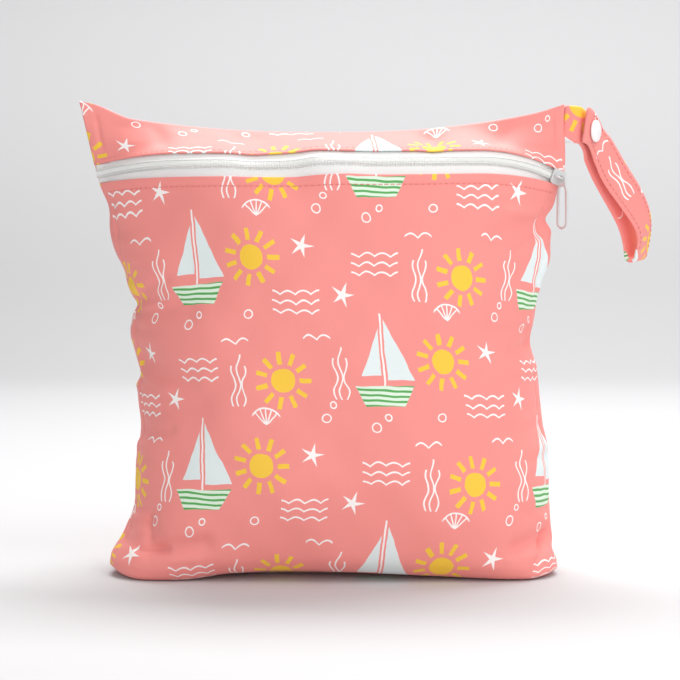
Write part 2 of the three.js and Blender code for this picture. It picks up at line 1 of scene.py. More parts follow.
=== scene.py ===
"""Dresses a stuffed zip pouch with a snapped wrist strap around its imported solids."""

import json
import math

import bpy
import numpy as np
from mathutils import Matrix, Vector


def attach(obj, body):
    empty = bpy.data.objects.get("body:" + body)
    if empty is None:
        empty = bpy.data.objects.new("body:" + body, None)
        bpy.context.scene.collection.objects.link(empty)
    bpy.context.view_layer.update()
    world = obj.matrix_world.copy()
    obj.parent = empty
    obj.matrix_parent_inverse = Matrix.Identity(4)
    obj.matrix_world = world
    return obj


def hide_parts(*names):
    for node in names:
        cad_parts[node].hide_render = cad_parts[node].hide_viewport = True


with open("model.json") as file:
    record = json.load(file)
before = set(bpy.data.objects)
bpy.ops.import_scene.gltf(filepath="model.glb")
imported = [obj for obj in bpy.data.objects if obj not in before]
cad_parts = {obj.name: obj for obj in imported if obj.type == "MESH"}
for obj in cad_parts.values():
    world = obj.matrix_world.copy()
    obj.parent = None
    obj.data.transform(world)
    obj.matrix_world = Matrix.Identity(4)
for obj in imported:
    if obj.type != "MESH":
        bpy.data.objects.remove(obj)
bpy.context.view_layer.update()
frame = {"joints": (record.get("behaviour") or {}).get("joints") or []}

bl_info = {
    "name": "Zip pouch",
    "version": (1, 0, 0),
    "blender": (4, 5, 0),
    "location": "3D View > Sidebar > Pouch",
    "description": "Printed cloth, zip, strap, snap and stage of a stuffed zip pouch",
    "category": "Object",
}

MM = 0.001
TINY = 1e-12
FLAT_MAP = "flat_cloth"
POUCH_BODY = "pouch"
PULL_BODY = next(joint["child"] for joint in frame["joints"] if joint["name"] == "pull_swing")

# Shape of the pouch in millimetres, as in the part's source
CLOTH = 1.5
GAP = 0.3
SEAM_EDGE = 1.2
SEAM_FORWARD = 14
EAR_FORWARD = 9
EAR_FROM = 60
EAR_TO = 118
SEAM_STRAIGHT = 120
BASE_ARCH = 5
ARCH_AT = -15
ARCH_SPREAD = 75
ARCH_FROM = 18
ARCH_TO = 44
ARCH_LEFT_FROM = -84
ARCH_LEFT_TO = -54
PEAK_FROM = 0.78
PEAK_TO = 0.955
BASE_FADE = 14
FOLD_EDGE = 0.94
FOLD_TOP = 9.7
PRESSED_FROM = 0.3
PRESSED_TO = 2
BOXY_FLATNESS = 1.6
BOXY_SHOULDER = 0.42
HEM_LEVEL = 8
STRIP_LEVEL = 9
TOP_LEVEL = 10
ZIP_LEVEL = (HEM_LEVEL + STRIP_LEVEL) / 2
FRONT = -1
BACK = 1

# A row a level: see the column names
PROFILE_COLUMNS = (
    "front_depth", "front_z", "back_depth", "back_z", "seam_z", "left", "right",
    "right_drop", "boxy", "climb_from", "tilt", "left_peak",
)
PROFILE = (
    (0, 0, 0, 0, 4, 119, 121, 2, 1.2, 0.84, 0, 0),
    (26, 0, 58, 0, 6, 123, 125, 2, 1.2, 0.84, 0, 0),
    (37, 6, 62.5, 7, 11, 122.5, 124.5, 2, 1.1, 0.8, 0, 0),
    (47, 25, 62.5, 26, 25, 115, 122, 0, 0.95, 0.5, 0, 0),
    (57, 62, 59.5, 63, 58, 109, 120.5, 0, 0.8, 0.3, 0, 0),
    (59, 105, 57, 106, 100, 109, 116, 0, 0.7, 0.3, 0, 0),
    (57, 148, 54, 148, 140, 112.5, 113.5, 0, 0.65, 0.3, 0, 0),
    (52.5, 189, 46, 189, 178, 121.5, 120, 0, 0.5, 0.4, 0, 0),
    (45, 219.8, 36, 217, 215, 129.5, 126, 1, 0.32, 0.62, 1.3, 0),
    (34.5, 233.2, 27, 229, 225.5, 132, 129.5, 4.5, 0.2, 0.62, 1.3, 0),
    (0.4, 243.7, 0.4, 243.7, 260.8, 140, 133.5, 2, 0, 0.1, 0, 0.27),
)

# Dents and ridges along lines in the front view: face, both ends, half width, rise off the cloth
FOLDS = (
    (FRONT, -99, 17, -69, 22, 5, -2.6),
    (FRONT, -100, 31, -97, 20, 6, -2.6),
    (FRONT, -105, 152, -79, 147, 7, -3),
    (FRONT, -103, 116, -79, 111, 7, -2.6),
    (FRONT, -100, 89, -73, 97, 9, -1.8),
    (FRONT, -92, 199, -71, 167, 20, -2.6),
    (FRONT, 115, 194, 90, 186, 7, -2.8),
    (FRONT, 107, 132, 85, 135, 8, -1.8),
    (FRONT, 117, 23, 101, 18, 5, -3),
    (FRONT, -42, 228, -20, 221, 11, -2.2),
    (FRONT, -8, 228, 8, 222, 10, 1.8),
    (FRONT, 52, 246, 55, 240, 6, -2.4),
    (BACK, -104, 142, -70, 150, 9, -3),
    (BACK, 106, 114, 74, 106, 9, -3),
    (BACK, -20, 204, 30, 197, 14, -3),
    (BACK, -80, 18, -40, 22, 6, -2),
)

# Places where a side seam is drawn in: side, height, how far, spread along the seam, reach inwards
PUCKERS = (
    (-1, 202, 2.6, 9, 9),
    (-1, 166, 0.8, 8, 9),
    (-1, 150, 3.4, 9, 12),
    (-1, 112, 1.2, 8, 12),
    (-1, 80, 2, 12, 12),
    (-1, 36, 1.4, 8, 12),
    (1, 193, 2.6, 8, 12),
    (1, 171, -1.6, 10, 9),
    (1, 127, 3.2, 10, 12),
    (1, 14, 1.4, 4, 9),
)

# Sharper notches in the side seams that the solids leave out, in the same columns as the puckers
NOTCHES = (
    (-1, 167, 2, 9, 9),
    (-1, 148, 1.9, 3.5, 8),
    (-1, 131, -1.3, 7, 9),
    (-1, 110, 2.1, 3.5, 8),
    (-1, 103, -1, 3, 7),
    (1, 260, 4.6, 26, 14),
    (1, 196, 1.9, 4, 8),
    (1, 189, -2.4, 4.5, 9),
)

# Finer creases that the solids leave out, in the same columns as the folds
CREASES = (
    (FRONT, -112, 26, -101, 33, 2.2, -1.1),
    (FRONT, -107, 17, -89, 17.5, 1.6, -2),
    (FRONT, -101, 33, -99.5, 22, 2, -1.6),
    (FRONT, 118, 23, 112, 5, 2, -2.6),
    (FRONT, 119, 21, 118, 17, 3, -2.4),
    (FRONT, -104, 148, -88, 152, 2.6, 1.35),
    (FRONT, -104, 156, -90, 164, 3, -1.2),
    (FRONT, -107, 110, -90, 104, 2.6, 1.2),
    (FRONT, -106, 76, -88, 82, 3, -1.35),
    (FRONT, 112, 198, 96, 200, 2.6, 1.35),
    (FRONT, 114, 188, 100, 178, 2.6, -1.35),
    (FRONT, 112, 127, 96, 124, 2.8, -1.35),
    (FRONT, 112, 136, 98, 144, 2.8, 1.05),
    (FRONT, 118, 27, 108, 35, 2.4, -0.8),
    (FRONT, 112, 14, 96, 12, 2.4, 0.8),
    (FRONT, -96, 12, -74, 13, 2.4, 0.8),
    (FRONT, -60, 252, -52, 240, 4, -1.1),
    (FRONT, -100, 254, -94, 240, 5, -1.2),
    (FRONT, 98, 252, 92, 240, 5, -1.2),
    (FRONT, 20, 244, 24, 234, 4, -1.0),
    (BACK, -106, 158, -84, 166, 3, -1.0),
    (BACK, 108, 122, 88, 130, 3, -1.0),
    (BACK, -104, 88, -82, 82, 3, -1.0),
    (BACK, 110, 60, 90, 52, 3, -1.0),
    (BACK, 60, 214, 66, 196, 4, -1.2),
    (BACK, -70, 216, -78, 196, 4, -1.2),
)

# Slow swells of the stuffed cloth: waves across and up per metre, phase, height in millimetres
SWELLS = (
    (14, 9, 0.4, 0.50),
    (-9, 17, 1.9, 0.45),
    (23, -12, 3.1, 0.28),
    (31, 26, 5.0, 0.16),
    (-38, 21, 0.9, 0.12),
)

# Ripples that the seam's stitches draw into the cloth beside them: waves per metre, phase, height
SEAM_RIPPLES = (
    (47, 0.3, 0.42),
    (71, 2.1, 0.34),
    (113, 4.0, 0.20),
)
SEAM_RIPPLE_REACH = 11
SEAM_PRESS = 0.8  # groove beside the side seams, where their allowances end
SEAM_PRESS_AT = 8
SEAM_PRESS_WIDE = 1.6
FINE_EDGE = 0.988
# Levels between which the fine shapes fade out towards the zip
FINE_UNDER_HEM = (HEM_LEVEL - 0.15, HEM_LEVEL - 0.6)
FINE_OVER_STRIP = (STRIP_LEVEL + 0.15, STRIP_LEVEL + 0.5)

# Zip
TAPE = 0.8
TAPE_RECESS = CLOTH + 3 * GAP
TAPE_TUCK = 4
TAPE_CLEAR = 2 * GAP
COIL_SEAT = 1.5 * GAP
COIL_HEIGHT = 2.4
TAPE_FREE_FROM = 0.86
TAPE_RISE_FROM = 0.94
TAPE_END = 0.992
COIL_LEFT = 0.985
COIL_RIGHT = 0.95
SLIDER_AT = 0.965
STEP_ACROSS = 2e-3
STEP_LEVEL = 4e-3
SECTION_STEPS = 96

# Wrist strap: length along the base layer, droop, heading, distance between the layers
STRAP_BASE = np.array((129.4, 0.0, 248.3))
STRAP_STATIONS = (
    (0, 4, 0, 4.4),
    (4, 4, 0, 4.4),
    (6, 7, 10, 4.4),
    (10, 16, 60, 4.4),
    (17, 32, 60, 4.4),
    (24, 46, 60, 4.4),
    (32, 50, 47, 6),
    (48, 53, 39, 7),
    (66, 51, 45, 9),
    (84, 60, 56, 10),
    (104, 88, 63, 6),
)
STRAP_FREE_END = 8.5
STRAP = 2.2
STRAP_WIDTH = 20
SNAP_AT = 17

# Flat cut of the cloth
HALF_CLOTH = 143
HEM_TURN = 10  # cloth turned under at the zip, between the front's print and the strip's


# Curves and small numeric helpers
def monotone(values):
    """Smooth curve through evenly spaced values that never overshoots them."""
    values = np.asarray(values, float)
    slope = np.diff(values)
    product = slope[:-1] * slope[1:]
    total = slope[:-1] + slope[1:]
    inner = np.where(product > 0, 2 * product / np.where(product > 0, total, 1), 0)
    tangent = np.concatenate(([slope[0]], inner, [slope[-1]]))

    def curve(at):
        at = np.asarray(at, float)
        i = np.clip(np.floor(at).astype(int), 0, len(values) - 2)
        s = at - i
        rest = 1 - s
        return (
            values[i] * (1 + 2 * s) * rest**2
            + tangent[i] * s * rest**2
            + values[i + 1] * s**2 * (3 - 2 * s)
            - tangent[i + 1] * s**2 * rest
        )

    return curve


def smooth(start, end, at):
    """Soft step from 0 to 1 between two values, which may fall as well as rise."""
    share = np.clip((at - start) / (end - start), 0, 1)
    return share * share * (3 - 2 * share)


def bell(distance, width):
    return np.exp(-((distance / width) ** 2))


def unit(vectors):
    return vectors / np.maximum(np.linalg.norm(vectors, axis=-1, keepdims=True), TINY)


def lengths_along(points):
    """Length walked along a line of points, at each of them."""
    return np.concatenate(([0], np.cumsum(np.linalg.norm(np.diff(points, axis=0), axis=1))))


def points_at(at, marks, points):
    """Points of a line at lengths along it."""
    return np.stack([np.interp(at, marks, points[:, k]) for k in range(3)], axis=-1)


def crowded(count, crowding):
    """Shares from -1 to 1 that lie closer together towards both ends."""
    share = np.linspace(-1, 1, count)
    return share * (1 + crowding - crowding * share**2)


def from_side_seam(across):
    """Distance on the flat cloth from the nearer side seam."""
    return (1 - np.abs(across)) * HALF_CLOTH


PROFILE_CURVES = {
    name: monotone([row[i] for row in PROFILE]) for i, name in enumerate(PROFILE_COLUMNS)
}


# Surface of the pouch
def seam_shift(x, z):
    """Where the seam between front and back lies, in front of the side seams' plane."""
    forward = SEAM_FORWARD + EAR_FORWARD * smooth(EAR_FROM, EAR_TO, np.abs(x))
    return -forward * np.maximum(0, 1 - z / SEAM_STRAIGHT) ** 2


def arch_lift(x, y, z):
    """Lift of the base's front edge, which stands on its corners."""
    low = smooth(SEAM_STRAIGHT / 2, 0, z) * smooth(ARCH_LEFT_FROM, ARCH_LEFT_TO, x)
    return BASE_ARCH * bell(x - ARCH_AT, ARCH_SPREAD) * smooth(ARCH_FROM, ARCH_TO, -y) * low


def section_depth(share, depth, boxy):
    flatness = 2 + BOXY_FLATNESS * boxy
    shoulder = 1 - BOXY_SHOULDER * boxy
    return depth * np.maximum(0, 1 - share**flatness) ** shoulder


def share_of_width(across, half_width, depth, boxy):
    """Share of the half width at a share of the cloth's half length, measured along the section."""
    turn = np.sin(np.linspace(0, math.pi / 2, SECTION_STEPS + 1))
    stand = section_depth(turn[None], depth[:, None], boxy[:, None])
    step = np.hypot(np.diff(turn)[None] * half_width[:, None], np.diff(stand, axis=1))
    lengths = np.concatenate((np.zeros((len(step), 1)), np.cumsum(step, axis=1)), axis=1)
    wanted = np.abs(across) * lengths[:, -1]
    i = np.clip((lengths < wanted[:, None]).sum(axis=1), 1, SECTION_STEPS)
    row = np.arange(len(i))
    part = (wanted - lengths[row, i - 1]) / (lengths[row, i] - lengths[row, i - 1])
    return np.sign(across) * np.sin((i - 1 + part) / SECTION_STEPS * math.pi / 2)


def drawn_in(table, across, from_seam, z):
    """Shift to the right by which a table of puckers moves the cloth beside the side seams."""
    shift = np.zeros_like(z)
    for side, pucker_z, draw, spread, reach in table:
        near = bell(z - pucker_z, spread) * bell(from_seam, reach)
        shift -= np.where(side * across > 0, side * draw * near, 0)
    return shift


def smooth_point(face, across, level):
    """Points of the pouch without its folds, at shares across and levels up."""
    at = {name: curve(level) for name, curve in PROFILE_CURVES.items()}
    side_name = "front" if face == FRONT else "back"
    depth = at[side_name + "_depth"]
    middle_z = at[side_name + "_z"]
    half_width = (at["left"] + at["right"]) / 2
    share = share_of_width(across, half_width, depth, at["boxy"])
    side = np.abs(share)
    even_climb = np.maximum(0, (side - at["climb_from"]) / (1 - at["climb_from"])) ** 2
    held_back = np.where(share < 0, at["left_peak"], 0)
    climb = even_climb + held_back * (smooth(PEAK_FROM, PEAK_TO, side) - even_climb)
    seam_z = at["seam_z"] - np.where(share > 0, at["right_drop"], 0)
    edge = SEAM_EDGE * smooth(PRESSED_FROM, PRESSED_TO, level)
    z = middle_z + (seam_z - middle_z) * climb + at["tilt"] * share * (1 - climb)
    x = (at["right"] - at["left"]) / 2 + share * half_width
    x = x + drawn_in(PUCKERS, across, (1 - np.abs(across)) * half_width, z)
    stand = section_depth(side, depth, at["boxy"])
    y = seam_shift(x, z) + face * (GAP / 2 + edge + stand)
    return np.stack((x, y, z + arch_lift(x, y, z)), axis=-1)


def normals_of(surface, face, across, level):
    a = np.clip(across, STEP_ACROSS - 1, 1 - STEP_ACROSS)
    up = np.clip(level, STEP_LEVEL, TOP_LEVEL - STEP_LEVEL)
    along_x = surface(face, a + STEP_ACROSS, up) - surface(face, a - STEP_ACROSS, up)
    along_z = surface(face, a, up + STEP_LEVEL) - surface(face, a, up - STEP_LEVEL)
    return unit(np.cross(along_x, along_z) * -face)


def line_rises(points, face, table):
    """Sum of the rises that a table of folds gives at points of a face."""
    rise = np.zeros(len(points))
    for fold_face, x0, z0, x1, z1, half_width, height in table:
        if fold_face != face:
            continue
        run = np.array((x1 - x0, z1 - z0), float)
        away = points[:, (0, 2)] - (x0, z0)
        share = np.clip(away @ run / (run @ run), 0, 1)
        distance = np.linalg.norm(away - share[:, None] * run, axis=1)
        rise += height * bell(distance, half_width)
    return rise


def cloth_point(face, across, level):
    """Points of the pouch with the folds that its solids have."""
    points = smooth_point(face, across, level)
    inside = smooth(1, FOLD_EDGE, np.abs(across)) * smooth(TOP_LEVEL, FOLD_TOP, level)
    fade = smooth(0, BASE_FADE, points[:, 2]) * inside
    rise = line_rises(points, face, FOLDS) * fade
    return points + normals_of(smooth_point, face, across, level) * rise[:, None]


def fine_rise(face, points, across, level):
    """Creases, swells and seam ripples that only the dressed cloth has."""
    x = points[:, 0] * MM
    z = points[:, 2] * MM
    swell = sum(
        height * np.sin(2 * math.pi * (wide * x + tall * z) + phase)
        for wide, tall, phase, height in SWELLS
    )
    ripple = sum(
        height * np.sin(2 * math.pi * waves * z + phase + face)
        for waves, phase, height in SEAM_RIPPLES
    )
    from_seam = from_side_seam(across)
    ripple = ripple * from_seam / SEAM_RIPPLE_REACH * np.exp(1 - from_seam / SEAM_RIPPLE_REACH)
    ripple = ripple - SEAM_PRESS * bell(from_seam - SEAM_PRESS_AT, SEAM_PRESS_WIDE)
    edges = smooth(1, FINE_EDGE, np.abs(across)) * smooth(0, BASE_FADE, points[:, 2])
    edges = edges * smooth(TOP_LEVEL, FOLD_TOP, level)
    if face == FRONT:
        edges = edges * np.maximum(smooth(*FINE_UNDER_HEM, level), smooth(*FINE_OVER_STRIP, level))
    return (line_rises(points, face, CREASES) + swell + ripple) * edges


# Meshes
def new_piece(name, points, faces, flat=None):
    """A smooth-shaded mesh object from points in millimetres, with a map of the flat cloth if it has one."""
    mesh = bpy.data.meshes.new(name)
    mesh.from_pydata((np.asarray(points) * MM).tolist(), [], faces)
    mesh.polygons.foreach_set("use_smooth", [True] * len(mesh.polygons))
    if flat is not None:
        corners = np.empty(len(mesh.loops), np.int32)
        mesh.loops.foreach_get("vertex_index", corners)
        layer = mesh.uv_layers.new(name=FLAT_MAP)
        layer.data.foreach_set("uv", (np.asarray(flat)[corners] * MM).ravel())
    mesh.update()
    piece = bpy.data.objects.new(name, mesh)
    bpy.context.scene.collection.objects.link(piece)
    return piece


def numbered(rows, columns, start=0):
    """Numbers of a grid's points, row by row."""
    return start + np.arange(rows * columns).reshape(rows, columns)


def grid_faces(rows, columns, start=0, flipped=False):
    index = numbered(rows, columns, start)
    quads = np.stack((index[:-1, :-1], index[:-1, 1:], index[1:, 1:], index[1:, :-1]), axis=-1)
    quads = quads.reshape(-1, 4)
    return (quads[:, ::-1] if flipped else quads).tolist()


def grid_normals(grid):
    """Normals of a grid of points whose columns run to the right and rows run up, seen from outside."""
    return unit(np.cross(np.gradient(grid, axis=1), np.gradient(grid, axis=0)))


def border_of(rows, columns):
    """Row and column numbers round a grid, and the way out of it at each."""
    bottom = [(0, c, -1, 0) for c in range(columns - 1)]
    right = [(r, columns - 1, 0, 1) for r in range(rows - 1)]
    top = [(rows - 1, c, 1, 0) for c in range(columns - 1, 0, -1)]
    left = [(r, 0, 0, -1) for r in range(rows - 1, 0, -1)]
    return np.array(bottom + right + top + left)


def cloth_wall(name, outer, inner, flat, rim_steps=4):
    """A closed wall between two grids of points, with a rounded rim all round."""
    rows, columns = outer.shape[:2]
    count = rows * columns
    faces = grid_faces(rows, columns) + grid_faces(rows, columns, count, True)
    border = border_of(rows, columns)
    r, c, out_row, out_column = border.T
    inside = (np.clip(r - out_row, 0, rows - 1), np.clip(c - out_column, 0, columns - 1))
    outward = unit(outer[r, c] - outer[inside])
    middle = (outer[r, c] + inner[r, c]) / 2
    half = (outer[r, c] - inner[r, c]) / 2
    reach = np.linalg.norm(half, axis=1, keepdims=True)
    points = [outer.reshape(-1, 3), inner.reshape(-1, 3)]
    flats = [flat.reshape(-1, 2), flat.reshape(-1, 2)]
    rings = [r * columns + c]
    for step in range(1, rim_steps):
        turn = math.pi * step / rim_steps
        points.append(middle + half * math.cos(turn) + outward * reach * math.sin(turn))
        flats.append(flat[r, c])
        rings.append(2 * count + (step - 1) * len(border) + np.arange(len(border)))
    rings.append(count + r * columns + c)
    for first, second in zip(rings, rings[1:]):
        quads = np.stack((first, second, np.roll(second, -1), np.roll(first, -1)), axis=-1)
        faces += quads.tolist()
    return new_piece(name, np.concatenate(points), faces, np.concatenate(flats))


STRAND_SIDES = 6
STRAND_TIP = 0.7  # reach of a strand's round end, in radii


def ring_faces(index):
    """Quads between rings of points, from a grid of their numbers with a row a ring."""
    after = np.roll(index, -1, axis=1)
    return np.stack((index[:-1], after[:-1], after[1:], index[1:]), axis=-1).reshape(-1, 4).tolist()


def tip_faces(index, first, last):
    """Triangles that close the first and the last ring with a point each."""
    low, high = index[0], index[-1]
    faces = [(first, b, a) for a, b in zip(low, np.roll(low, -1))]
    return faces + [(last, a, b) for a, b in zip(high, np.roll(high, -1))]


def tube_rings(path, off, sides, wide, tall):
    """Rings of points round a path, wide aside and tall off its face, and the ways along it."""
    along = unit(np.gradient(path, axis=0))
    aside = unit(np.cross(along, off))
    rise = np.cross(aside, along)
    turn = np.linspace(0, 2 * math.pi, sides, endpoint=False)[:, None]
    rings = path[:, None] + wide * np.cos(turn) * aside[:, None] + tall * np.sin(turn) * rise[:, None]
    return rings, along


def strands(name, rows):
    """Round-ended tubes in one mesh, each row holding its points, its radius and a way off its face."""
    points, faces, count = [], [], 0
    for path, radius, off in rows:
        rings, along = tube_rings(path, off, STRAND_SIDES, radius, radius)
        reach = radius * STRAND_TIP
        tips = np.array((path[0] - along[0] * reach, path[-1] + along[-1] * reach))
        points += [rings.reshape(-1, 3), tips]
        index = numbered(len(path), STRAND_SIDES, count)
        first = count + index.size
        faces += ring_faces(index) + tip_faces(index, first, first + 1)
        count += index.size + len(tips)
    return new_piece(name, np.concatenate(points), faces)


def plate_mesh(name, outlines, depth, bevel):
    """A flat plate with rounded edges, from closed outlines in its own plane; the first is outside."""
    curve = bpy.data.curves.new(name, "CURVE")
    curve.dimensions = "2D"
    curve.fill_mode = "BOTH"
    curve.extrude = (depth / 2 - bevel) * MM
    curve.bevel_depth = bevel * MM
    curve.bevel_resolution = 3
    curve.offset = -bevel * MM
    for outline in outlines:
        spline = curve.splines.new("POLY")
        spline.points.add(len(outline) - 1)
        spline.points.foreach_set(
            "co", [v for x, y in outline for v in (x * MM, y * MM, 0.0, 1.0)]
        )
        spline.use_cyclic_u = True
    holder = bpy.data.objects.new(name + "_outline", curve)
    mesh = bpy.data.meshes.new_from_object(holder)
    bpy.data.objects.remove(holder)
    bpy.data.curves.remove(curve)
    co = np.empty(len(mesh.vertices) * 3)
    mesh.vertices.foreach_get("co", co)
    points = co.reshape(-1, 3) / MM
    faces = [tuple(face.vertices) for face in mesh.polygons]
    bpy.data.meshes.remove(mesh)
    return points, faces


def finish_piece(piece, body, slot, material, *nodes):
    """Gives a piece its material and its body, and hides the solids that it stands for. The slot is not used.
    """
    piece.data.materials.append(material)
    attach(piece, body)
    if nodes:
        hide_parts(*nodes)


# Materials
class Ink:
    """A number in a material's node tree. Arithmetic on it adds Math nodes."""

    def __init__(self, tree, socket):
        self.tree = tree
        self.socket = socket

    def math(self, operation, *others, clamp=False):
        node = self.tree.nodes.new("ShaderNodeMath")
        node.operation = operation
        node.use_clamp = clamp
        for socket, value in zip(node.inputs, (self, *others)):
            if isinstance(value, Ink):
                self.tree.links.new(value.socket, socket)
            else:
                socket.default_value = value
        return Ink(self.tree, node.outputs[0])

    def __add__(self, other):
        return self.math("ADD", other)

    def __sub__(self, other):
        return self.math("SUBTRACT", other)

    def __mul__(self, other):
        return self.math("MULTIPLY", other)

    def __truediv__(self, other):
        return self.math("DIVIDE", other)

    def __abs__(self):
        return self.math("ABSOLUTE")

    def times_plus(self, factor, added):
        return self.math("MULTIPLY_ADD", factor, added)

    def chained(self, operation, others):
        made = self
        for other in others:
            made = made.math(operation, other)
        return made

    def most(self, *others):
        return self.chained("MAXIMUM", others)

    def least(self, *others):
        return self.chained("MINIMUM", others)

    def sine(self):
        return self.math("SINE")

    def wrapped(self, half):
        return self.math("WRAP", half, -half)

    def hypot(self, other):
        return (self * self + other * other).math("SQRT")

    def inked(self, softness=0.18):
        """Full ink where a distance is below zero, with a soft edge."""
        return self.math("MULTIPLY_ADD", -1 / softness, 0.5, clamp=True)


def new_material(name, **settings):
    """A material, its tree and its shader, whose sockets get constants by their names in small letters."""
    material = bpy.data.materials.new(name)
    material.use_nodes = True
    tree = material.node_tree
    shader = tree.nodes["Principled BSDF"]
    sockets = {socket.name.lower().replace(" ", "_"): socket for socket in shader.inputs}
    for setting, value in settings.items():
        sockets[setting].default_value = value
    return material, tree, shader


def mixed(tree, ink, under, over):
    """Colour over another by an ink's strength."""
    node = tree.nodes.new("ShaderNodeMix")
    node.data_type = "RGBA"
    tree.links.new(ink.socket, node.inputs["Factor"])
    for socket, value in ((node.inputs["A"], under), (node.inputs["B"], over)):
        if isinstance(value, bpy.types.NodeSocket):
            tree.links.new(value, socket)
        else:
            socket.default_value = value
    return node.outputs["Result"]


def shaded(tree, shader, ink, colour, shade):
    """Base colour from a darker shade up to the full colour, by an ink's strength."""
    dark = tuple(c * shade for c in colour)
    tree.links.new(mixed(tree, ink, (*dark, 1), (*colour, 1)), shader.inputs["Base Color"])


def noise(tree, place, scale, detail=2.0):
    """Soft noise at a number of waves per metre."""
    node = tree.nodes.new("ShaderNodeTexNoise")
    node.inputs["Scale"].default_value = scale
    node.inputs["Detail"].default_value = detail
    tree.links.new(place, node.inputs["Vector"])
    return Ink(tree, node.outputs["Fac"])


def object_place(tree):
    return tree.nodes.new("ShaderNodeTexCoord").outputs["Object"]


def bumped(tree, shader, height, distance, strength):
    node = tree.nodes.new("ShaderNodeBump")
    node.inputs["Distance"].default_value = distance * MM
    node.inputs["Strength"].default_value = strength
    tree.links.new(height.socket, node.inputs["Height"])
    tree.links.new(node.outputs["Normal"], shader.inputs["Normal"])


def rough(tree, shader, ink, low, high):
    """Roughness between two values."""
    tree.links.new((ink * (high - low) + low).socket, shader.inputs["Roughness"])


def flat_place(tree):
    """Place on the flat cloth, as a socket and as two numbers in millimetres."""
    node = tree.nodes.new("ShaderNodeUVMap")
    node.uv_map = FLAT_MAP
    parts = tree.nodes.new("ShaderNodeSeparateXYZ")
    tree.links.new(node.outputs["UV"], parts.inputs["Vector"])
    return node.outputs["UV"], Ink(tree, parts.outputs["X"]) / MM, Ink(tree, parts.outputs["Y"]) / MM


# Printed motifs: each takes its own place in millimetres and gives distances
# The numbers in a motif are the sizes of its drawing
REPEAT_WIDE = 104
REPEAT_TALL = 112
HALF_LINE = 0.42
HALF_FINE_LINE = 0.36


def repeated(u, v, at_u, at_v):
    """Place within the repeat that holds a motif, with each second column dropped by half."""
    x = (u - at_u).wrapped(REPEAT_WIDE / 2)
    column = (u - at_u - x) / REPEAT_WIDE
    y = column.times_plus(REPEAT_TALL / 2, v - at_v).wrapped(REPEAT_TALL / 2)
    return x, y


def boat(x, y):
    """Distances of a small boat's hull, sails and mast."""
    side = abs(x)
    hull = (y - 11).most(y * -1, (side - y * 0.55 - 10.5) * 0.88)
    mast = (side - 0.5).most(y * -1 + 11, y - 50)
    big = (x * -1 + 1.6).most(y * -1 + 14, x * 0.906 + y * 0.423 - 21.3)
    small = (x + 1.6).most(y * -1 + 16.5, x * -0.916 + y * 0.401 - 18.3)
    return hull, big.least(small), mast


def sun(x, y):
    """Distance to a disc with rays round it."""
    radius = x.hypot(y)
    ray = abs(y.math("ARCTAN2", x).wrapped(math.pi / 11)) * radius - 1.25
    return ray.most(radius * -1 + 9, radius - 15.5).least(radius - 6.6)


def waves(x, y):
    crest = (x * (math.pi / 8.6)).sine()
    row = y.wrapped(2.5)
    return (abs(row - abs(crest) * 1.9 + 0.9) * 0.85 - HALF_LINE).most(abs(x) - 12.9, abs(y) - 7.4)


def starfish(x, y):
    radius = x.hypot(y)
    arm = abs(y.math("ARCTAN2", x).wrapped(math.pi / 5))
    return arm.sine() * radius + radius * 0.22 - 1.5


def shell(x, y):
    """A fan of ribs under a round edge."""
    radius = x.hypot(y)
    angle = x.math("ARCTAN2", y)
    rib = abs(angle.wrapped(0.19)) * radius - HALF_FINE_LINE
    edge = abs(radius - 9) - 0.45
    return rib.most(radius - 9).least(edge).most(abs(angle) - 1.0)


def gull(x, y):
    side = abs(x)
    return (abs(y - (side * 0.36).sine() * 2.6) * 0.85 - HALF_LINE).most(side - 7.6)


def seaweed(x, y):
    bend = (y * 0.4).sine()
    pair = abs(abs(x) - 2.9 - bend * 1.2) * 0.9 - 0.4
    middle = abs(x + bend * 1.1) * 0.9 - 0.4
    return pair.most(y - 22).least(middle.most(y - 28)).most(y * -1)


def bubble(x, y, radius):
    return abs(x.hypot(y) - radius) - HALF_FINE_LINE


# Places of the motifs in the repeat; a bubble's third number is its radius
BOAT_AT = (26, 16)
SUNS_AT = ((74, 86), (60, 40))
LINE_MOTIFS = (
    (waves, ((84, 16), (24, 92))),
    (starfish, ((88, 46), (6, 76))),
    (gull, ((48, 106), (94, 108))),
    (seaweed, ((2, 20), (49, 72))),
    (bubble, ((20, 5, 2.4), (27, 10, 1.6), (97, 66, 2.4), (101, 73, 1.6), (57, 10, 2.2))),
    (shell, ((64, 62),)),
)


def least_of(makers):
    first, *others = makers
    return first.least(*others)


def print_colours(tree, u, v, cloth, colours):
    """The print over the cloth's colour: suns, then white line work, then boats."""
    lines = [
        motif(*repeated(u, v, *at[:2]), *at[2:]) for motif, places in LINE_MOTIFS for at in places
    ]
    suns = least_of([sun(*repeated(u, v, *at)) for at in SUNS_AT])
    x, y = repeated(u, v, *BOAT_AT)
    hull, sails, mast = boat(x, y)
    stripe = abs((y + x * 0.05).wrapped(1.45)) - 0.62
    colour = mixed(tree, suns.inked(), cloth, (*colours.yellow, 1))
    colour = mixed(tree, least_of(lines).least(mast).inked(), colour, (*colours.line, 1))
    colour = mixed(tree, sails.inked(), colour, (*colours.pale, 1))
    colour = mixed(tree, hull.inked(), colour, (*colours.pale_green, 1))
    return mixed(tree, hull.most(stripe).inked(), colour, (*colours.green, 1))


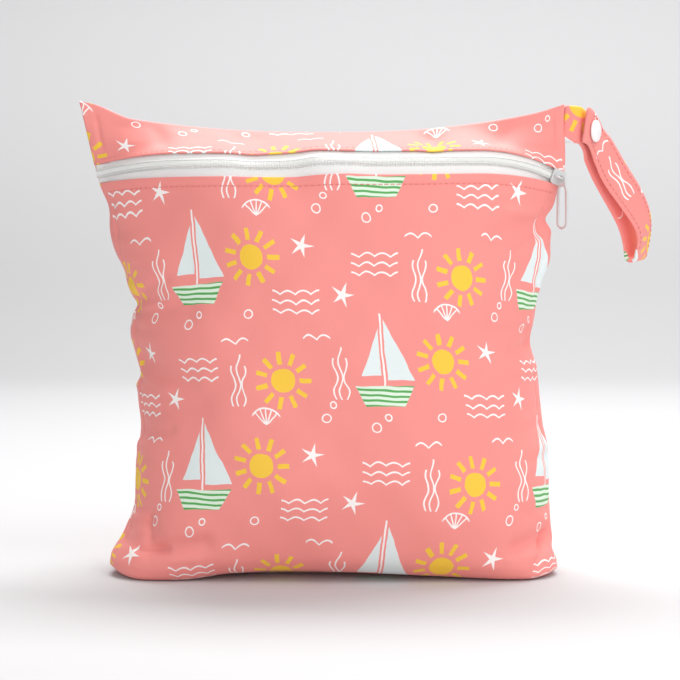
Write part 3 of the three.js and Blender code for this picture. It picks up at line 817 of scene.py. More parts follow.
def printed_cloth():
    """Waterproof printed cloth: fine upright ribs, a soft sheen, and an unsteady hand-drawn print."""
    colours = bpy.context.scene.pouch_colours
    material, tree, shader = new_material(
        "printed_cloth", sheen_weight=0.12, sheen_roughness=0.4, specular_ior_level=0.35,
    )
    place, u, v = flat_place(tree)
    wobble = noise(tree, place, 90) - 0.5
    sway = noise(tree, place, 75, 1.0) - 0.5
    blotch = noise(tree, place, 16, 3.0)
    deep = tuple(c * 0.93 for c in colours.cloth)
    cloth = mixed(tree, blotch, (*deep, 1), (*colours.cloth, 1))
    colour = print_colours(tree, u + wobble * 2.2, v + sway * 2.2, cloth, colours)
    tree.links.new(colour, shader.inputs["Base Color"])
    ribs = (u * (2 * math.pi / 0.95)).sine()
    picks = (v * (2 * math.pi / 0.8)).sine()
    grain = noise(tree, place, 900)
    bumped(tree, shader, ribs + picks * 0.5 + grain * 2, 0.03, 0.35)
    rough(tree, shader, grain, 0.5, 0.72)
    return material


def tape_weave():
    """White woven tape with a herringbone of fine ribs."""
    colours = bpy.context.scene.pouch_colours
    material, tree, shader = new_material("tape_weave", sheen_weight=0.1)
    place, u, v = flat_place(tree)
    slant = abs(v.wrapped(1.1)) * 1.2
    ribs = ((u + slant) * (2 * math.pi / 0.7)).sine()
    grain = noise(tree, place, 700)
    shaded(tree, shader, ribs * 0.25 + grain * 0.5 + 0.4, colours.tape, 0.9)
    bumped(tree, shader, ribs + grain, 0.06, 0.5)
    rough(tree, shader, grain, 0.65, 0.9)
    return material


def coil_nylon():
    """Smooth white nylon with faint drawn streaks."""
    colours = bpy.context.scene.pouch_colours
    material, tree, shader = new_material("coil_nylon")
    streaks = noise(tree, object_place(tree), 600)
    shaded(tree, shader, streaks, colours.coil, 0.92)
    bumped(tree, shader, streaks, 0.03, 0.3)
    rough(tree, shader, streaks, 0.3, 0.5)
    return material


def twisted_thread(name, colour):
    """Sewing thread with the twist of its plies."""
    material, tree, shader = new_material(name)
    place = object_place(tree)
    plies = noise(tree, place, 2600, 1.0)
    fuzz = noise(tree, place, 5000)
    shaded(tree, shader, plies, colour, 0.8)
    bumped(tree, shader, plies + fuzz * 0.5, 0.08, 0.6)
    rough(tree, shader, fuzz, 0.5, 0.75)
    return material


def white_lacquer():
    """White lacquer over cast metal: a slight orange peel, and greyer where it is handled."""
    colours = bpy.context.scene.pouch_colours
    material, tree, shader = new_material(
        "white_lacquer", coat_weight=0.4, coat_roughness=0.15, metallic=0.15,
    )
    place = object_place(tree)
    peel = noise(tree, place, 900, 1.0)
    handled = noise(tree, place, 160, 3.0)
    shaded(tree, shader, handled, colours.metal, 0.78)
    bumped(tree, shader, peel, 0.02, 0.2)
    rough(tree, shader, handled, 0.2, 0.4)
    return material


def snap_plastic():
    """Glossy moulded white plastic."""
    colours = bpy.context.scene.pouch_colours
    material, tree, shader = new_material("snap_plastic", coat_weight=0.3)
    place = object_place(tree)
    flow = noise(tree, place, 220)
    peel = noise(tree, place, 1200, 1.0)
    shaded(tree, shader, flow, colours.snap, 0.95)
    bumped(tree, shader, peel, 0.015, 0.2)
    rough(tree, shader, flow, 0.18, 0.32)
    return material


def studio_paper():
    """Pale paper with painted shade, which stands in for the fall of light over floor and backdrop: graduated
    along its length and a little darker to the left.
    """
    colours = bpy.context.scene.pouch_colours
    material, tree, shader = new_material("studio_paper", roughness=0.9, specular_ior_level=0.1)
    place, across, along = flat_place(tree)
    fibres = noise(tree, place, 40, 3.0)
    # Painted shade: the paper's colour is darker to the left
    painted_side_shade = across.math("MULTIPLY_ADD", PAPER_PAINTED_SHADE_TILT * MM, PAPER_PAINTED_SHADE_MIDDLE, clamp=True)
    # Painted shade along the paper's length, from the ramp's stops
    climb = tree.nodes.new("ShaderNodeValToRGB")
    climb.color_ramp.interpolation = "EASE"
    tree.links.new((along * MM / SWEEP_LENGTH).socket, climb.inputs["Fac"])
    stops = climb.color_ramp.elements
    while len(stops) < len(PAPER_PAINTED_SHADES):
        stops.new(1)
    for stop, (share, value) in zip(stops, PAPER_PAINTED_SHADES):
        stop.position = share
        stop.color = (*(c * value for c in colours.paper), 1)
    colour = mixed(tree, painted_side_shade, (0, 0, 0, 1), climb.outputs["Color"])
    colour = mixed(tree, fibres * 0.04, colour, (0.5, 0.5, 0.5, 1))
    tree.links.new(colour, shader.inputs["Base Color"])
    return material


# Cloth panels
PANEL_SPACING = 1.35
HEM_SPACING = 0.55
HEM_BAND = 9
SEAM_ROLL_STEPS = 3
HEM_RISE = 0.25
HEM_RISE_FROM = 1.4  # past the stitches
HEM_RISE_TO = 0.2  # before them
GROOVE_WIDE = 0.8
HEM_LEAN = 0.1  # rise for each millimetre from the stitches to the hem's edge
HEM_CLOTH = 0.9  # cloth at the hems' edges, where it is pressed
HEM_PRESSED = (TAPE_TUCK + 1, TAPE_TUCK + 4)  # from the edges, where the cloth gets its full thickness
HEM_NEAR = 1e-6
HEM_SEAM = (5, 0.35)  # the stitches' distance from the hem's edge, and how deep they draw the cloth in
STRIP_SEAM = (2.5, 0.04)
SIDE_CROWDING = 0.25  # grid columns lie closer together towards the seams
SEAM_CLOTH = 0.25  # cloth in the seams
SEAM_CLOTH_FROM = 0.97
SEAM_CLEAR = 0.05
FLOOR_CLEAR = 0.02
LENGTH_STEPS = 801
FRONT_COLUMNS = 181
BACK_COLUMNS = 141

# Settling of the panels in a cloth simulation
SEAM_SLACK = 0.05
SLACK_REACH = 16
SEAM_HELD = 2.5
HEM_HELD = 7
FLOOR_HELD = 4
LIGHT_HOLD = 0.5
SETTLE_FRAMES = 20
SETTLE_QUALITY = 5
SETTLE_MASS = 0.001
SETTLE_STRETCH = 10
SETTLE_BEND = 0.05
SETTLE_HOLD = 1.0
SETTLE_CAP = 4  # no point moves farther than this


def length_to_levels(face):
    """Length along the cloth's middle line against level, on a fine row of levels."""
    levels = np.linspace(0, TOP_LEVEL, LENGTH_STEPS)
    return lengths_along(smooth_point(face, np.zeros_like(levels), levels)), levels


LENGTHS = {face: length_to_levels(face) for face in (FRONT, BACK)}


def length_at(face, level):
    lengths, levels = LENGTHS[face]
    return np.interp(level, levels, lengths)


def level_at(face, length):
    lengths, levels = LENGTHS[face]
    return np.interp(length, lengths, levels)


def panel_levels(face, low, high, fine_low, fine_high):
    """Levels of a panel's grid rows, closer together beside the zip."""
    start, end = length_at(face, low), length_at(face, high)
    marks = [start]
    while marks[-1] < end:
        near = (fine_low and marks[-1] < start + HEM_BAND) or (fine_high and marks[-1] > end - HEM_BAND)
        marks.append(marks[-1] + (HEM_SPACING if near else PANEL_SPACING))
    marks = start + (np.array(marks) - start) * (end - start) / (marks[-1] - start)
    return level_at(face, marks)


def from_hems(level):
    """Distances of the front's levels down from its hem and up from the strip's."""
    below = length_at(FRONT, HEM_LEVEL) - length_at(FRONT, level)
    above = length_at(FRONT, level) - length_at(FRONT, STRIP_LEVEL)
    return below, above


def hem_rise(level):
    """Turned hems stand a little proud and lean out, with a groove under their stitches."""
    rise = np.zeros_like(level)
    for distance, (stitch, groove) in zip(from_hems(level), (HEM_SEAM, STRIP_SEAM)):
        band = HEM_RISE * smooth(stitch + HEM_RISE_FROM, stitch - HEM_RISE_TO, distance)
        band = band + HEM_LEAN * np.maximum(stitch - distance, 0)
        band = band - groove * bell(distance - stitch, GROOVE_WIDE)
        rise += np.where(distance >= -HEM_NEAR, band, 0)
    return rise


def wall_thickness(face, level):
    """Thickness of the cloth, which is pressed thin at the hems' edges."""
    if face == BACK:
        return np.full_like(level, CLOTH)
    from_edge = np.max(from_hems(level), axis=0)
    return HEM_CLOTH + (CLOTH - HEM_CLOTH) * smooth(*HEM_PRESSED, from_edge)


def dressed_point(face, across, level):
    """Points of the dressed cloth: the solids' folds and the finer ones."""
    points = cloth_point(face, across, level)
    rise = fine_rise(face, points, across, level)
    if face == FRONT:
        rise = rise + hem_rise(level) * smooth(1, FINE_EDGE, np.abs(across))
    dressed = points + normals_of(smooth_point, face, across, level) * rise[:, None]
    dressed[:, 0] += drawn_in(NOTCHES, across, from_side_seam(across), points[:, 2])
    return dressed


def hold_and_slack(face, across, level, points):
    """Shares by which the settling cloth is held in place, and by which it is longer than its place."""
    from_seam = from_side_seam(across)
    from_top = length_at(face, TOP_LEVEL) - length_at(face, level)
    edge = np.minimum(from_seam, from_top)
    if face == FRONT:
        edge = np.minimum(edge, np.max(from_hems(level), axis=0) - HEM_HELD)
    held = np.maximum(smooth(SEAM_HELD, 0, edge), smooth(2 * FLOOR_HELD, FLOOR_HELD, points[..., 2]))
    slack = bell(from_seam, SLACK_REACH) + bell(from_top, SLACK_REACH)
    return LIGHT_HOLD + (1 - LIGHT_HOLD) * held, np.minimum(slack, 1)


def settled(grid, held, slack):
    """A panel's grid after a short cloth simulation, in which its slack gathers into puckers."""
    rows, columns = grid.shape[:2]
    cloth = new_piece("settling_cloth", grid.reshape(-1, 3), grid_faces(rows, columns))
    for name, shares in (("held", held), ("slack", slack)):
        group = cloth.vertex_groups.new(name=name)
        for i, share in enumerate(shares.ravel().tolist()):
            group.add((i,), share, "REPLACE")
    modifier = cloth.modifiers.new("settle", "CLOTH")
    modifier.collision_settings.use_collision = False
    settings = modifier.settings
    settings.quality = SETTLE_QUALITY
    settings.mass = SETTLE_MASS
    settings.tension_stiffness = settings.compression_stiffness = SETTLE_STRETCH
    settings.shear_stiffness = SETTLE_STRETCH / 2
    settings.bending_stiffness = SETTLE_BEND
    settings.vertex_group_mass = "held"
    settings.pin_stiffness = SETTLE_HOLD
    settings.vertex_group_shrink = "slack"
    settings.shrink_min, settings.shrink_max = 0, -SEAM_SLACK
    settings.effector_weights.gravity = 0
    scene = bpy.context.scene
    for frame_number in range(1, SETTLE_FRAMES + 1):
        scene.frame_set(frame_number)
    shaped = cloth.evaluated_get(bpy.context.evaluated_depsgraph_get()).data
    places = np.empty(rows * columns * 3)
    shaped.vertices.foreach_get("co", places)
    scene.frame_set(1)
    mesh = cloth.data
    bpy.data.objects.remove(cloth)
    bpy.data.meshes.remove(mesh)
    moved = places.reshape(grid.shape) / MM - grid
    reach = np.linalg.norm(moved, axis=-1, keepdims=True)
    return grid + unit(moved) * SETTLE_CAP * np.tanh(reach / SETTLE_CAP)


def panel(name, face, low, high, columns):
    """One cloth panel: a closed wall whose side edges, and top edge at the top seam, roll into their seam."""
    levels = panel_levels(face, low, high, low == STRIP_LEVEL, high == HEM_LEVEL)
    a, level = np.meshgrid(-face * crowded(columns, SIDE_CROWDING), levels)
    core = dressed_point(face, a.ravel(), level.ravel()).reshape(*a.shape, 3)
    core = settled(core, *hold_and_slack(face, a, level, core))
    turns = np.linspace(0, 1, SEAM_ROLL_STEPS + 1)[1:]
    roll_side = np.concatenate((turns[::-1], np.zeros(columns), turns))
    roll_top = np.concatenate((np.zeros(len(levels)), turns if high == TOP_LEVEL else []))
    margins = ((0, len(roll_top) - len(levels)), (SEAM_ROLL_STEPS, SEAM_ROLL_STEPS))
    a, level = (np.pad(grid, margins, mode="edge") for grid in (a, level))
    points = np.pad(core, (*margins, (0, 0)), mode="edge").reshape(-1, 3)
    side, top = np.meshgrid(roll_side, roll_top)
    side, top = side.ravel(), top.ravel()
    turn = np.maximum(side, top) * math.pi / 2
    seam_y = seam_shift(points[:, 0], points[:, 2])
    radius = np.maximum(np.abs(points[:, 1] - seam_y) - SEAM_CLEAR, 0)
    inward = np.stack((-np.sign(a.ravel()) * side, 0 * side, -top), axis=-1)
    inward = unit(inward) * (radius * (1 - np.cos(turn)))[:, None]
    points = points + np.where((side + top > 0)[:, None], inward, 0)
    points[:, 1] -= face * radius * np.sin(turn)
    outer = points.reshape(*a.shape, 3)
    full = smooth(1, SEAM_CLOTH_FROM, np.abs(a)) * (1 - np.maximum(side, top).reshape(a.shape))
    if high == TOP_LEVEL:
        full = full * smooth(TOP_LEVEL, FOLD_TOP, level)
    thickness = SEAM_CLOTH + (wall_thickness(face, level) - SEAM_CLOTH) * full
    inner = outer - grid_normals(outer) * thickness[..., None]
    inner[..., 2] = np.maximum(inner[..., 2], FLOOR_CLEAR)
    flat_y = length_at(face, level) - (HEM_TURN if low == STRIP_LEVEL else 0)
    flat = np.stack((-face * a * HALF_CLOTH, flat_y), axis=-1)
    return cloth_wall(name, outer, inner, flat)


# Zip
def zip_place(across, level, depth):
    """Points under the front's outer surface, and its normals there."""
    normal = normals_of(cloth_point, FRONT, across, level)
    return cloth_point(FRONT, across, level) - normal * np.asarray(depth)[..., None], normal


def levels_per_mm(low, high):
    return (high - low) / (length_at(FRONT, high) - length_at(FRONT, low))


def from_zip(level):
    """Distance from the zip's middle line."""
    return np.abs(length_at(FRONT, level) - length_at(FRONT, ZIP_LEVEL))


TAPE_SHOWN = HEM_CLOTH + GAP
TAPE_CROWN = 0.25
TAPE_UNDER_SLIDER = 1.7
TAPE_SETTLE_FROM = 0.87
TAPE_SETTLE_TO = 0.91
TAPE_SINK_TO = 0.97
TAPE_PART = 2  # tapes part round the slider's post
TAPE_PART_FROM = 0.945
TAPE_PART_TO = 0.958
HALF_BAND = from_zip(HEM_LEVEL)


def tape_recess(across, level):
    """Depth of the tapes' face under the cloth's: they swell between the hems, but not under the slider."""
    swell = 1 - np.clip(from_zip(level) / HALF_BAND, 0, 1) ** 2
    shown = TAPE_SHOWN - TAPE_CROWN * swell
    depth = shown + (TAPE_UNDER_SLIDER - shown) * smooth(TAPE_SETTLE_FROM, TAPE_SETTLE_TO, across)
    depth = depth * smooth(TAPE_END, TAPE_RISE_FROM, -across)
    return depth * smooth(TAPE_END, TAPE_SINK_TO, across)


NEAR_HEM = 0.2  # levels beside a hem over which its levels per millimetre are taken
BAND_LEVELS = levels_per_mm(HEM_LEVEL, STRIP_LEVEL)
HEM_LEVELS = levels_per_mm(HEM_LEVEL - NEAR_HEM, HEM_LEVEL)
STRIP_LEVELS = levels_per_mm(STRIP_LEVEL, STRIP_LEVEL + NEAR_HEM)
TAPE_COLUMNS = 220
TAPE_ROWS = 26
TAPE_RIBS = ((3.5, 0.28, 0.45), (4.6, 0.16, 0.4))  # woven cords: distance from the middle, height, half width


def into_side_seams(grid):
    """A grid with a column more at each end, which lies in the side seam there."""
    longer = np.pad(grid, ((0, 0), (1, 1), (0, 0)), mode="edge")
    for column in (0, -1):
        end = longer[:, column]
        end[:, 1] = seam_shift(end[:, 0], end[:, 2])
    return longer


def tape(name, is_upper):
    """One woven tape, from the zip's middle to behind its hem, with woven cords along the coil."""
    across = TAPE_END * np.linspace(-1, 1, TAPE_COLUMNS)
    tuck = smooth(TAPE_RISE_FROM, TAPE_FREE_FROM, -across)
    sign = 1 if is_upper else -1
    parting = GAP / 2 + TAPE_PART * smooth(TAPE_PART_FROM, TAPE_PART_TO, across)
    inner = ZIP_LEVEL + sign * parting * BAND_LEVELS
    shown = (STRIP_LEVEL if is_upper else HEM_LEVEL) - sign * TAPE_CLEAR * BAND_LEVELS
    behind = STRIP_LEVEL + TAPE_TUCK * STRIP_LEVELS if is_upper else HEM_LEVEL - TAPE_TUCK * HEM_LEVELS
    outer = shown + (behind - shown) * tuck
    upward = np.linspace(0, 1, TAPE_ROWS)[:, None]
    level = inner + (outer - inner) * upward if is_upper else outer + (inner - outer) * upward
    a = np.broadcast_to(across, level.shape)
    depth = tape_recess(a.ravel(), level.ravel())
    points, normal = zip_place(a.ravel(), level.ravel(), depth)
    from_middle = from_zip(level)
    ribs = sum(height * bell(from_middle - at, wide) for at, height, wide in TAPE_RIBS)
    top = (points + normal * ribs.reshape(-1, 1)).reshape(*level.shape, 3)
    under = (points - normal * TAPE).reshape(*level.shape, 3)
    flat = np.stack((a * HALF_CLOTH, from_middle * sign), axis=-1)
    top, under = (into_side_seams(layer) for layer in (top, under))
    flat = np.pad(flat, ((0, 0), (1, 1), (0, 0)), mode="edge")
    return cloth_wall(name, top, under, flat, rim_steps=2)


COIL_PITCH = 0.72
COIL_RISE = 1.9
COIL_LIFT = 0.1
TOOTH_RADIUS = 0.36
TOOTH_POINTS = 8
TOOTH_OUTER = 2.6  # where a tooth leaves the tape, from the zip's middle
TOOTH_INNER = 1.0  # how far it reaches past the middle
COIL_THREAD_AT = 1.9
COIL_THREAD = 0.26
COIL_BEAT = 0.1  # how far a thread dips between the teeth
CHAIN_STEPS = 700


def chain_frames(across):
    """Seat on the tapes, way off them, way along the zip and way up across it."""
    level = np.full_like(across, ZIP_LEVEL)
    seat, out = zip_place(across, level, tape_recess(across, level))
    along = unit(np.gradient(seat, axis=0))
    return seat, out, along, unit(np.cross(out, along))


def chain_shares():
    """Shares across at even steps along the closed chain."""
    across = np.linspace(-COIL_LEFT, COIL_RIGHT, CHAIN_STEPS)
    lengths = lengths_along(chain_frames(across)[0])
    return np.interp(np.arange(0, lengths[-1], COIL_PITCH), lengths, across)


def coil_height(aside):
    """Height of the chain's crown over the tapes at a distance from the middle."""
    share = np.clip(np.abs(aside) / TOOTH_OUTER, 0, 1)
    return COIL_LIFT + TOOTH_RADIUS + (COIL_RISE - 2 * TOOTH_RADIUS) * np.sqrt(1 - share**3)


def coil_teeth(name):
    """Loops of the two coils, each hooked past the middle between the other's."""
    seat, out, along, up = chain_frames(chain_shares())
    rows = []
    for i in range(len(seat)):
        sign = 1 if i % 2 else -1
        aside = np.linspace(TOOTH_OUTER, -TOOTH_INNER, TOOTH_POINTS) * sign
        path = seat[i] + up[i] * aside[:, None] + out[i] * coil_height(aside)[:, None]
        rows.append((path, TOOTH_RADIUS, along[i]))
    return strands(name, rows)


def coil_threads(name):
    """The two threads that sew the coils to their tapes."""
    seat, out, _, up = chain_frames(chain_shares())
    beat = COIL_BEAT * np.cos(math.pi * np.arange(len(seat)))
    rows = []
    for sign in (-1, 1):
        lift = coil_height(np.full(len(seat), COIL_THREAD_AT)) + TOOTH_RADIUS + beat
        path = seat + up * (sign * COIL_THREAD_AT) + out * lift[:, None]
        rows.append((path, COIL_THREAD, out.mean(axis=0)))
    return strands(name, rows)


# Slider and pull
def slider_axes():
    """Seat of the slider, way along the zip, way across it and way off the pouch."""
    at = np.array((SLIDER_AT, SLIDER_AT + STEP_ACROSS))
    level = np.full(2, ZIP_LEVEL)
    seat, beside = cloth_point(FRONT, at, level)
    out = normals_of(cloth_point, FRONT, at[:1], level[:1])[0]
    along = unit(beside - seat)
    along = unit(along - out * (along @ out))
    return seat, along, np.cross(out, along), out


SLIDER_LENGTH = 9.6
SLIDER_WIDTH = 8.6
SLIDER_NOSE = 5.6
SLIDER_PLATE = 1.1
KEEL_SHARE = 0.7
PLATE_UNDER = COIL_SEAT + COIL_HEIGHT - TAPE_RECESS + GAP
PLATE_TOP = PLATE_UNDER + SLIDER_PLATE
KEEL_TOP = -TAPE_RECESS - TAPE - 3 * GAP
POST_RADIUS = 1.4
POST_AT = 2.3
BAIL_BAR = 0.65
BAIL_RISE = 3.1
BAIL_SPAN = 3.4
FLANGE_DROP = 1.5
FLANGE_FROM = -0.45  # in half lengths of the slider
FLANGE_TO = 0.62
FLANGE_INSET = 0.55
FLANGE_THICK = 0.5
SLIDER_SINK = 0.2  # how far one piece of the slider reaches into the next
SLIDER_BEVEL = 0.3
BAIL_FLARE = 1.25
BAIL_BOW = (0.55, 0.45)  # the arch's powers along and up: below 1 it is squarer than a circle
PULL_BEVEL = 0.4
PULL_WIDTH = 8
PULL_NECK = 5
PULL_LENGTH = 28
PULL_PLATE = 1.2
PULL_EYE = 1.6
PULL_ARM = 1.5
PULL_SHOULDER = 8
PULL_SLOT_FROM = 6.4
PULL_SLOT_NARROW = 2
PULL_BEND = 0.65
EYE_CLEAR = 2 * GAP


def curve_points(ends, count):
    """Points of a Bezier curve of any degree, without its last one."""
    points = [np.array(end, float) for end in ends]
    made = []
    for t in np.linspace(0, 1, count, endpoint=False):
        row = points
        while len(row) > 1:
            row = [a * (1 - t) + b * t for a, b in zip(row, row[1:])]
        made.append(row[0])
    return made


def arc_points(centre, radius, start, end, count):
    turn = np.radians(np.linspace(start, end, count))
    return [np.array(centre) + radius * np.array((math.cos(t), math.sin(t))) for t in turn]


def slider_outline(size):
    half, nose, wide = SLIDER_LENGTH / 2, SLIDER_NOSE / 2, SLIDER_WIDTH / 2
    quarters = (
        ((-half, -nose), (-half, -wide), (-half / 3, -wide)),
        ((half / 2, -wide), (half, -wide), (half, -nose)),
        ((half, nose), (half, wide), (half / 2, wide)),
        ((-half / 3, wide), (-half, wide), (-half, nose)),
    )
    points = []
    for ends in quarters:
        points += curve_points(ends, 7) + [np.array(ends[-1], float)]
    return [point * size for point in points]


def joined(groups):
    """Several groups of points and faces as one."""
    points, faces, count = [], [], 0
    for group_points, group_faces in groups:
        points.append(group_points)
        faces += [tuple(i + count for i in face) for face in group_faces]
        count += len(group_points)
    return np.concatenate(points), faces


def tube(path, wide, tall, off, sides=12):
    """Points and faces of one tube with flat ends."""
    path = np.asarray(path, float)
    rings, _ = tube_rings(path, off, sides, wide, tall)
    index = numbered(len(path), sides)
    return rings.reshape(-1, 3), ring_faces(index) + [tuple(index[0][::-1]), tuple(index[-1])]


def slider_body(name):
    """Slider: a bevelled crown plate with side flanges, a post, an inner plate, and the bail over the top."""
    groups = []
    for size, low, high in ((1, PLATE_UNDER, PLATE_TOP), (KEEL_SHARE, KEEL_TOP - SLIDER_PLATE, KEEL_TOP)):
        points, faces = plate_mesh(name, [slider_outline(size)], high - low, SLIDER_BEVEL)
        groups.append((points + (0, 0, (low + high) / 2), faces))
    half = SLIDER_LENGTH / 2
    for sign in (-1, 1):
        runs = half * np.linspace(FLANGE_FROM, FLANGE_TO, 8)
        aside = sign * (SLIDER_WIDTH / 2 - FLANGE_INSET)
        flange = [(x, aside, PLATE_UNDER - FLANGE_DROP / 2 + SLIDER_SINK) for x in runs]
        groups.append(tube(flange, FLANGE_THICK, FLANGE_DROP / 2 + SLIDER_SINK, (0, 0, 1)))
    post = [(POST_AT, 0, z) for z in np.linspace(KEEL_TOP - SLIDER_SINK, PLATE_UNDER + SLIDER_SINK, 4)]
    groups.append(tube(post, POST_RADIUS, POST_RADIUS, (1, 0, 0), 16))
    turn = np.linspace(0, math.pi, 19)
    foot = PLATE_TOP - SLIDER_PLATE / 2
    rise = PLATE_TOP + BAIL_RISE - foot
    bow_along, bow_up = BAIL_BOW
    arch_x = -BAIL_SPAN * np.sign(np.cos(turn)) * np.abs(np.cos(turn)) ** bow_along
    arch = np.stack((arch_x, 0 * turn, foot + rise * np.sin(turn) ** bow_up), axis=-1)
    groups.append(tube(arch, BAIL_BAR * BAIL_FLARE, BAIL_BAR, (0, 1, 0)))
    points, faces = joined(groups)
    seat, along, aside, out = slider_axes()
    return new_piece(name, seat + points @ np.stack((along, aside, out)), faces)


def pull_tab(name):
    """Pull: a rounded plate with an eye on the bail and a long slot, hanging straight down."""
    eye_drop = PULL_EYE - BAIL_BAR - EYE_CLEAR
    neck, half = PULL_NECK / 2, PULL_WIDTH / 2
    bend = PULL_BEND * PULL_SHOULDER
    foot = half - PULL_LENGTH
    outline = arc_points((0, -eye_drop), neck, 0, 180, 15)[:-1]
    outline += curve_points(((-neck, -eye_drop), (-neck, -bend), (-half, -bend), (-half, -PULL_SHOULDER)), 9)
    outline += arc_points((0, foot), half, 180, 360, 19)
    outline += curve_points(((half, -PULL_SHOULDER), (half, -bend), (neck, -bend), (neck, -eye_drop)), 9)
    eye = arc_points((0, -eye_drop), PULL_EYE, 0, 360, 25)[:-1]
    hole = arc_points((0, -PULL_SLOT_FROM), PULL_SLOT_NARROW, 0, 180, 13)
    hole += arc_points((0, foot), half - PULL_ARM, 180, 360, 13)
    points, faces = plate_mesh(name, [outline, eye, hole], PULL_PLATE, PULL_BEVEL)
    seat, along, _, out = slider_axes()
    pivot = seat + out * (PLATE_TOP + BAIL_RISE)
    axis = unit(np.array((along[0], along[1], 0)))
    up = np.array((0.0, 0.0, 1.0))
    return new_piece(name, pivot + points @ np.stack((np.cross(up, axis), up, axis)), faces)


# Wrist strap
def strap_curve(column):
    curve = monotone([row[column] for row in STRAP_STATIONS])
    marks = [row[0] for row in STRAP_STATIONS]
    return lambda along: curve(np.interp(along, marks, np.arange(len(marks))))


STRAP_DROOP, STRAP_HEADING, STRAP_GAP = (strap_curve(column) for column in (1, 2, 3))
STRAP_LENGTH = STRAP_STATIONS[-1][0]
STRAP_PAST_END = 10
STRAP_MARKS = 1001
STRAP_STEPS = 110
STRAP_FOLD_STEPS = 16
STRAP_ROWS = 15
STRAP_PRINT = (49, 32)  # place of the strap in the print
STRAP_CROWDING = 0.35  # rows lie closer together towards the edges
STRAP_CORE = 0.86  # thickness between the seam allowances, as a share
STRAP_ALLOWANCE = (0.55, 0.8)
STRAP_ROUNDING = 0.82
STRAP_ROUND_POWER = 10
STRAP_INSET = 0.985  # the band's width, as a share of the solid's


def strap_axes(along):
    """Ways along the strap, off its face and across it, at lengths along the base layer."""
    droop, heading = np.radians(STRAP_DROOP(along)), np.radians(STRAP_HEADING(along))
    forward = np.stack(
        (np.cos(heading) * np.cos(droop), np.sin(heading) * np.cos(droop), -np.sin(droop)), axis=-1
    )
    out = np.stack((np.sin(heading), -np.cos(heading), 0 * heading), axis=-1)
    return forward, out, np.cross(out, forward)


def strap_base(along):
    """The base layer's middle line, walked from the seam."""
    marks = np.linspace(0, STRAP_LENGTH + STRAP_PAST_END, STRAP_MARKS)
    middle = (marks[1:] + marks[:-1]) / 2
    walked = np.cumsum(strap_axes(middle)[0] * np.diff(marks)[:, None], axis=0)
    line = STRAP_BASE + np.concatenate((np.zeros((1, 3)), walked))
    return points_at(along, marks, line)


def strap_point(along, off, wide):
    _, out, across = strap_axes(along)
    return strap_base(along) + out * np.asarray(off)[..., None] + across * np.asarray(wide)[..., None]


def strap_run():
    """The strap's run as lengths along the base layer and distances off it: out, round the fold, and back."""
    out = np.linspace(0, STRAP_LENGTH, STRAP_STEPS)
    radius = float(STRAP_GAP(STRAP_LENGTH)) / 2
    turn = np.linspace(0, math.pi, STRAP_FOLD_STEPS + 1)[1:-1]
    back = np.linspace(STRAP_LENGTH, STRAP_FREE_END, STRAP_STEPS)
    along = np.concatenate((out, STRAP_LENGTH + radius * np.sin(turn), back))
    off = np.concatenate((0 * out, radius - radius * np.cos(turn), STRAP_GAP(back)))
    return along, off


def strap_band(name):
    """Folded cloth band with soft edges that are thicker where its seam allowances lie."""
    along, off = strap_run()
    run = np.stack((along, off), axis=-1)
    way = unit(np.gradient(run, axis=0))
    share = crowded(STRAP_ROWS, STRAP_CROWDING)
    body = STRAP / 2 * (STRAP_CORE + (1 - STRAP_CORE) * smooth(*STRAP_ALLOWANCE, np.abs(share)))
    body = body * np.sqrt(1 - STRAP_ROUNDING * share**STRAP_ROUND_POWER)
    layers = []
    for sign in (1, -1):
        lift = sign * body[:, None]
        a = along - lift * way[:, 1]
        o = off + lift * way[:, 0]
        wide = np.broadcast_to(share[:, None] * STRAP_WIDTH / 2 * STRAP_INSET, a.shape)
        layers.append(strap_point(a.ravel(), o.ravel(), wide.ravel()).reshape(*a.shape, 3))
    length = lengths_along(run)
    flat_v, flat_u = np.meshgrid(length, share * STRAP_WIDTH / 2)
    flat = np.stack((flat_u + STRAP_PRINT[0], flat_v + STRAP_PRINT[1]), axis=-1)
    return cloth_wall(name, layers[0], layers[1], flat), length[-1]


# Snap
SNAP_RADIUS = 6.2
SNAP_RIM = 0.7
SNAP_RIM_INSETS = ((0.3, 0), (0.08, 0.1), (0, 0.3), (0, SNAP_RIM))  # from the radius, and heights
SNAP_DOME = 2.7
SNAP_DOME_STEPS = 14
SNAP_POST_RADIUS = 4.5
SNAP_SIDES = 64


def turned(profile):
    """Points and faces of a closed turned form, from radius and height pairs between two on its axis."""
    turn = np.linspace(0, 2 * math.pi, SNAP_SIDES, endpoint=False)
    radius, height = np.array(profile[1:-1], float).T[..., None]
    ring = np.stack((radius * np.cos(turn), radius * np.sin(turn), height + 0 * turn), axis=-1)
    points = np.concatenate((ring.reshape(-1, 3), [(0, 0, profile[0][1]), (0, 0, profile[-1][1])]))
    index = numbered(len(ring), SNAP_SIDES)
    return points, ring_faces(index) + tip_faces(index, index.size, index.size + 1)


def dome_profile():
    """Flat seat, rounded rim and dome."""
    rim = [(0, 0)] + [(SNAP_RADIUS - inset, height) for inset, height in SNAP_RIM_INSETS]
    turn = np.linspace(0, math.pi / 2, SNAP_DOME_STEPS)[1:-1]
    dome = [(SNAP_RADIUS * math.cos(t), SNAP_RIM + (SNAP_DOME - SNAP_RIM) * math.sin(t)) for t in turn]
    return rim + dome + [(0, SNAP_DOME)]


def snap_piece(name, profile, off, facing):
    """A turned snap piece on the strap, facing off its face or behind it."""
    along = np.array([SNAP_AT], float)
    forward, out, _ = (axis[0] for axis in strap_axes(along))
    seat = strap_point(along, np.array([off]), np.zeros(1))[0]
    axis = out * facing
    points, faces = turned(profile)
    return new_piece(name, seat + points @ np.stack((forward, np.cross(axis, forward), axis)), faces)


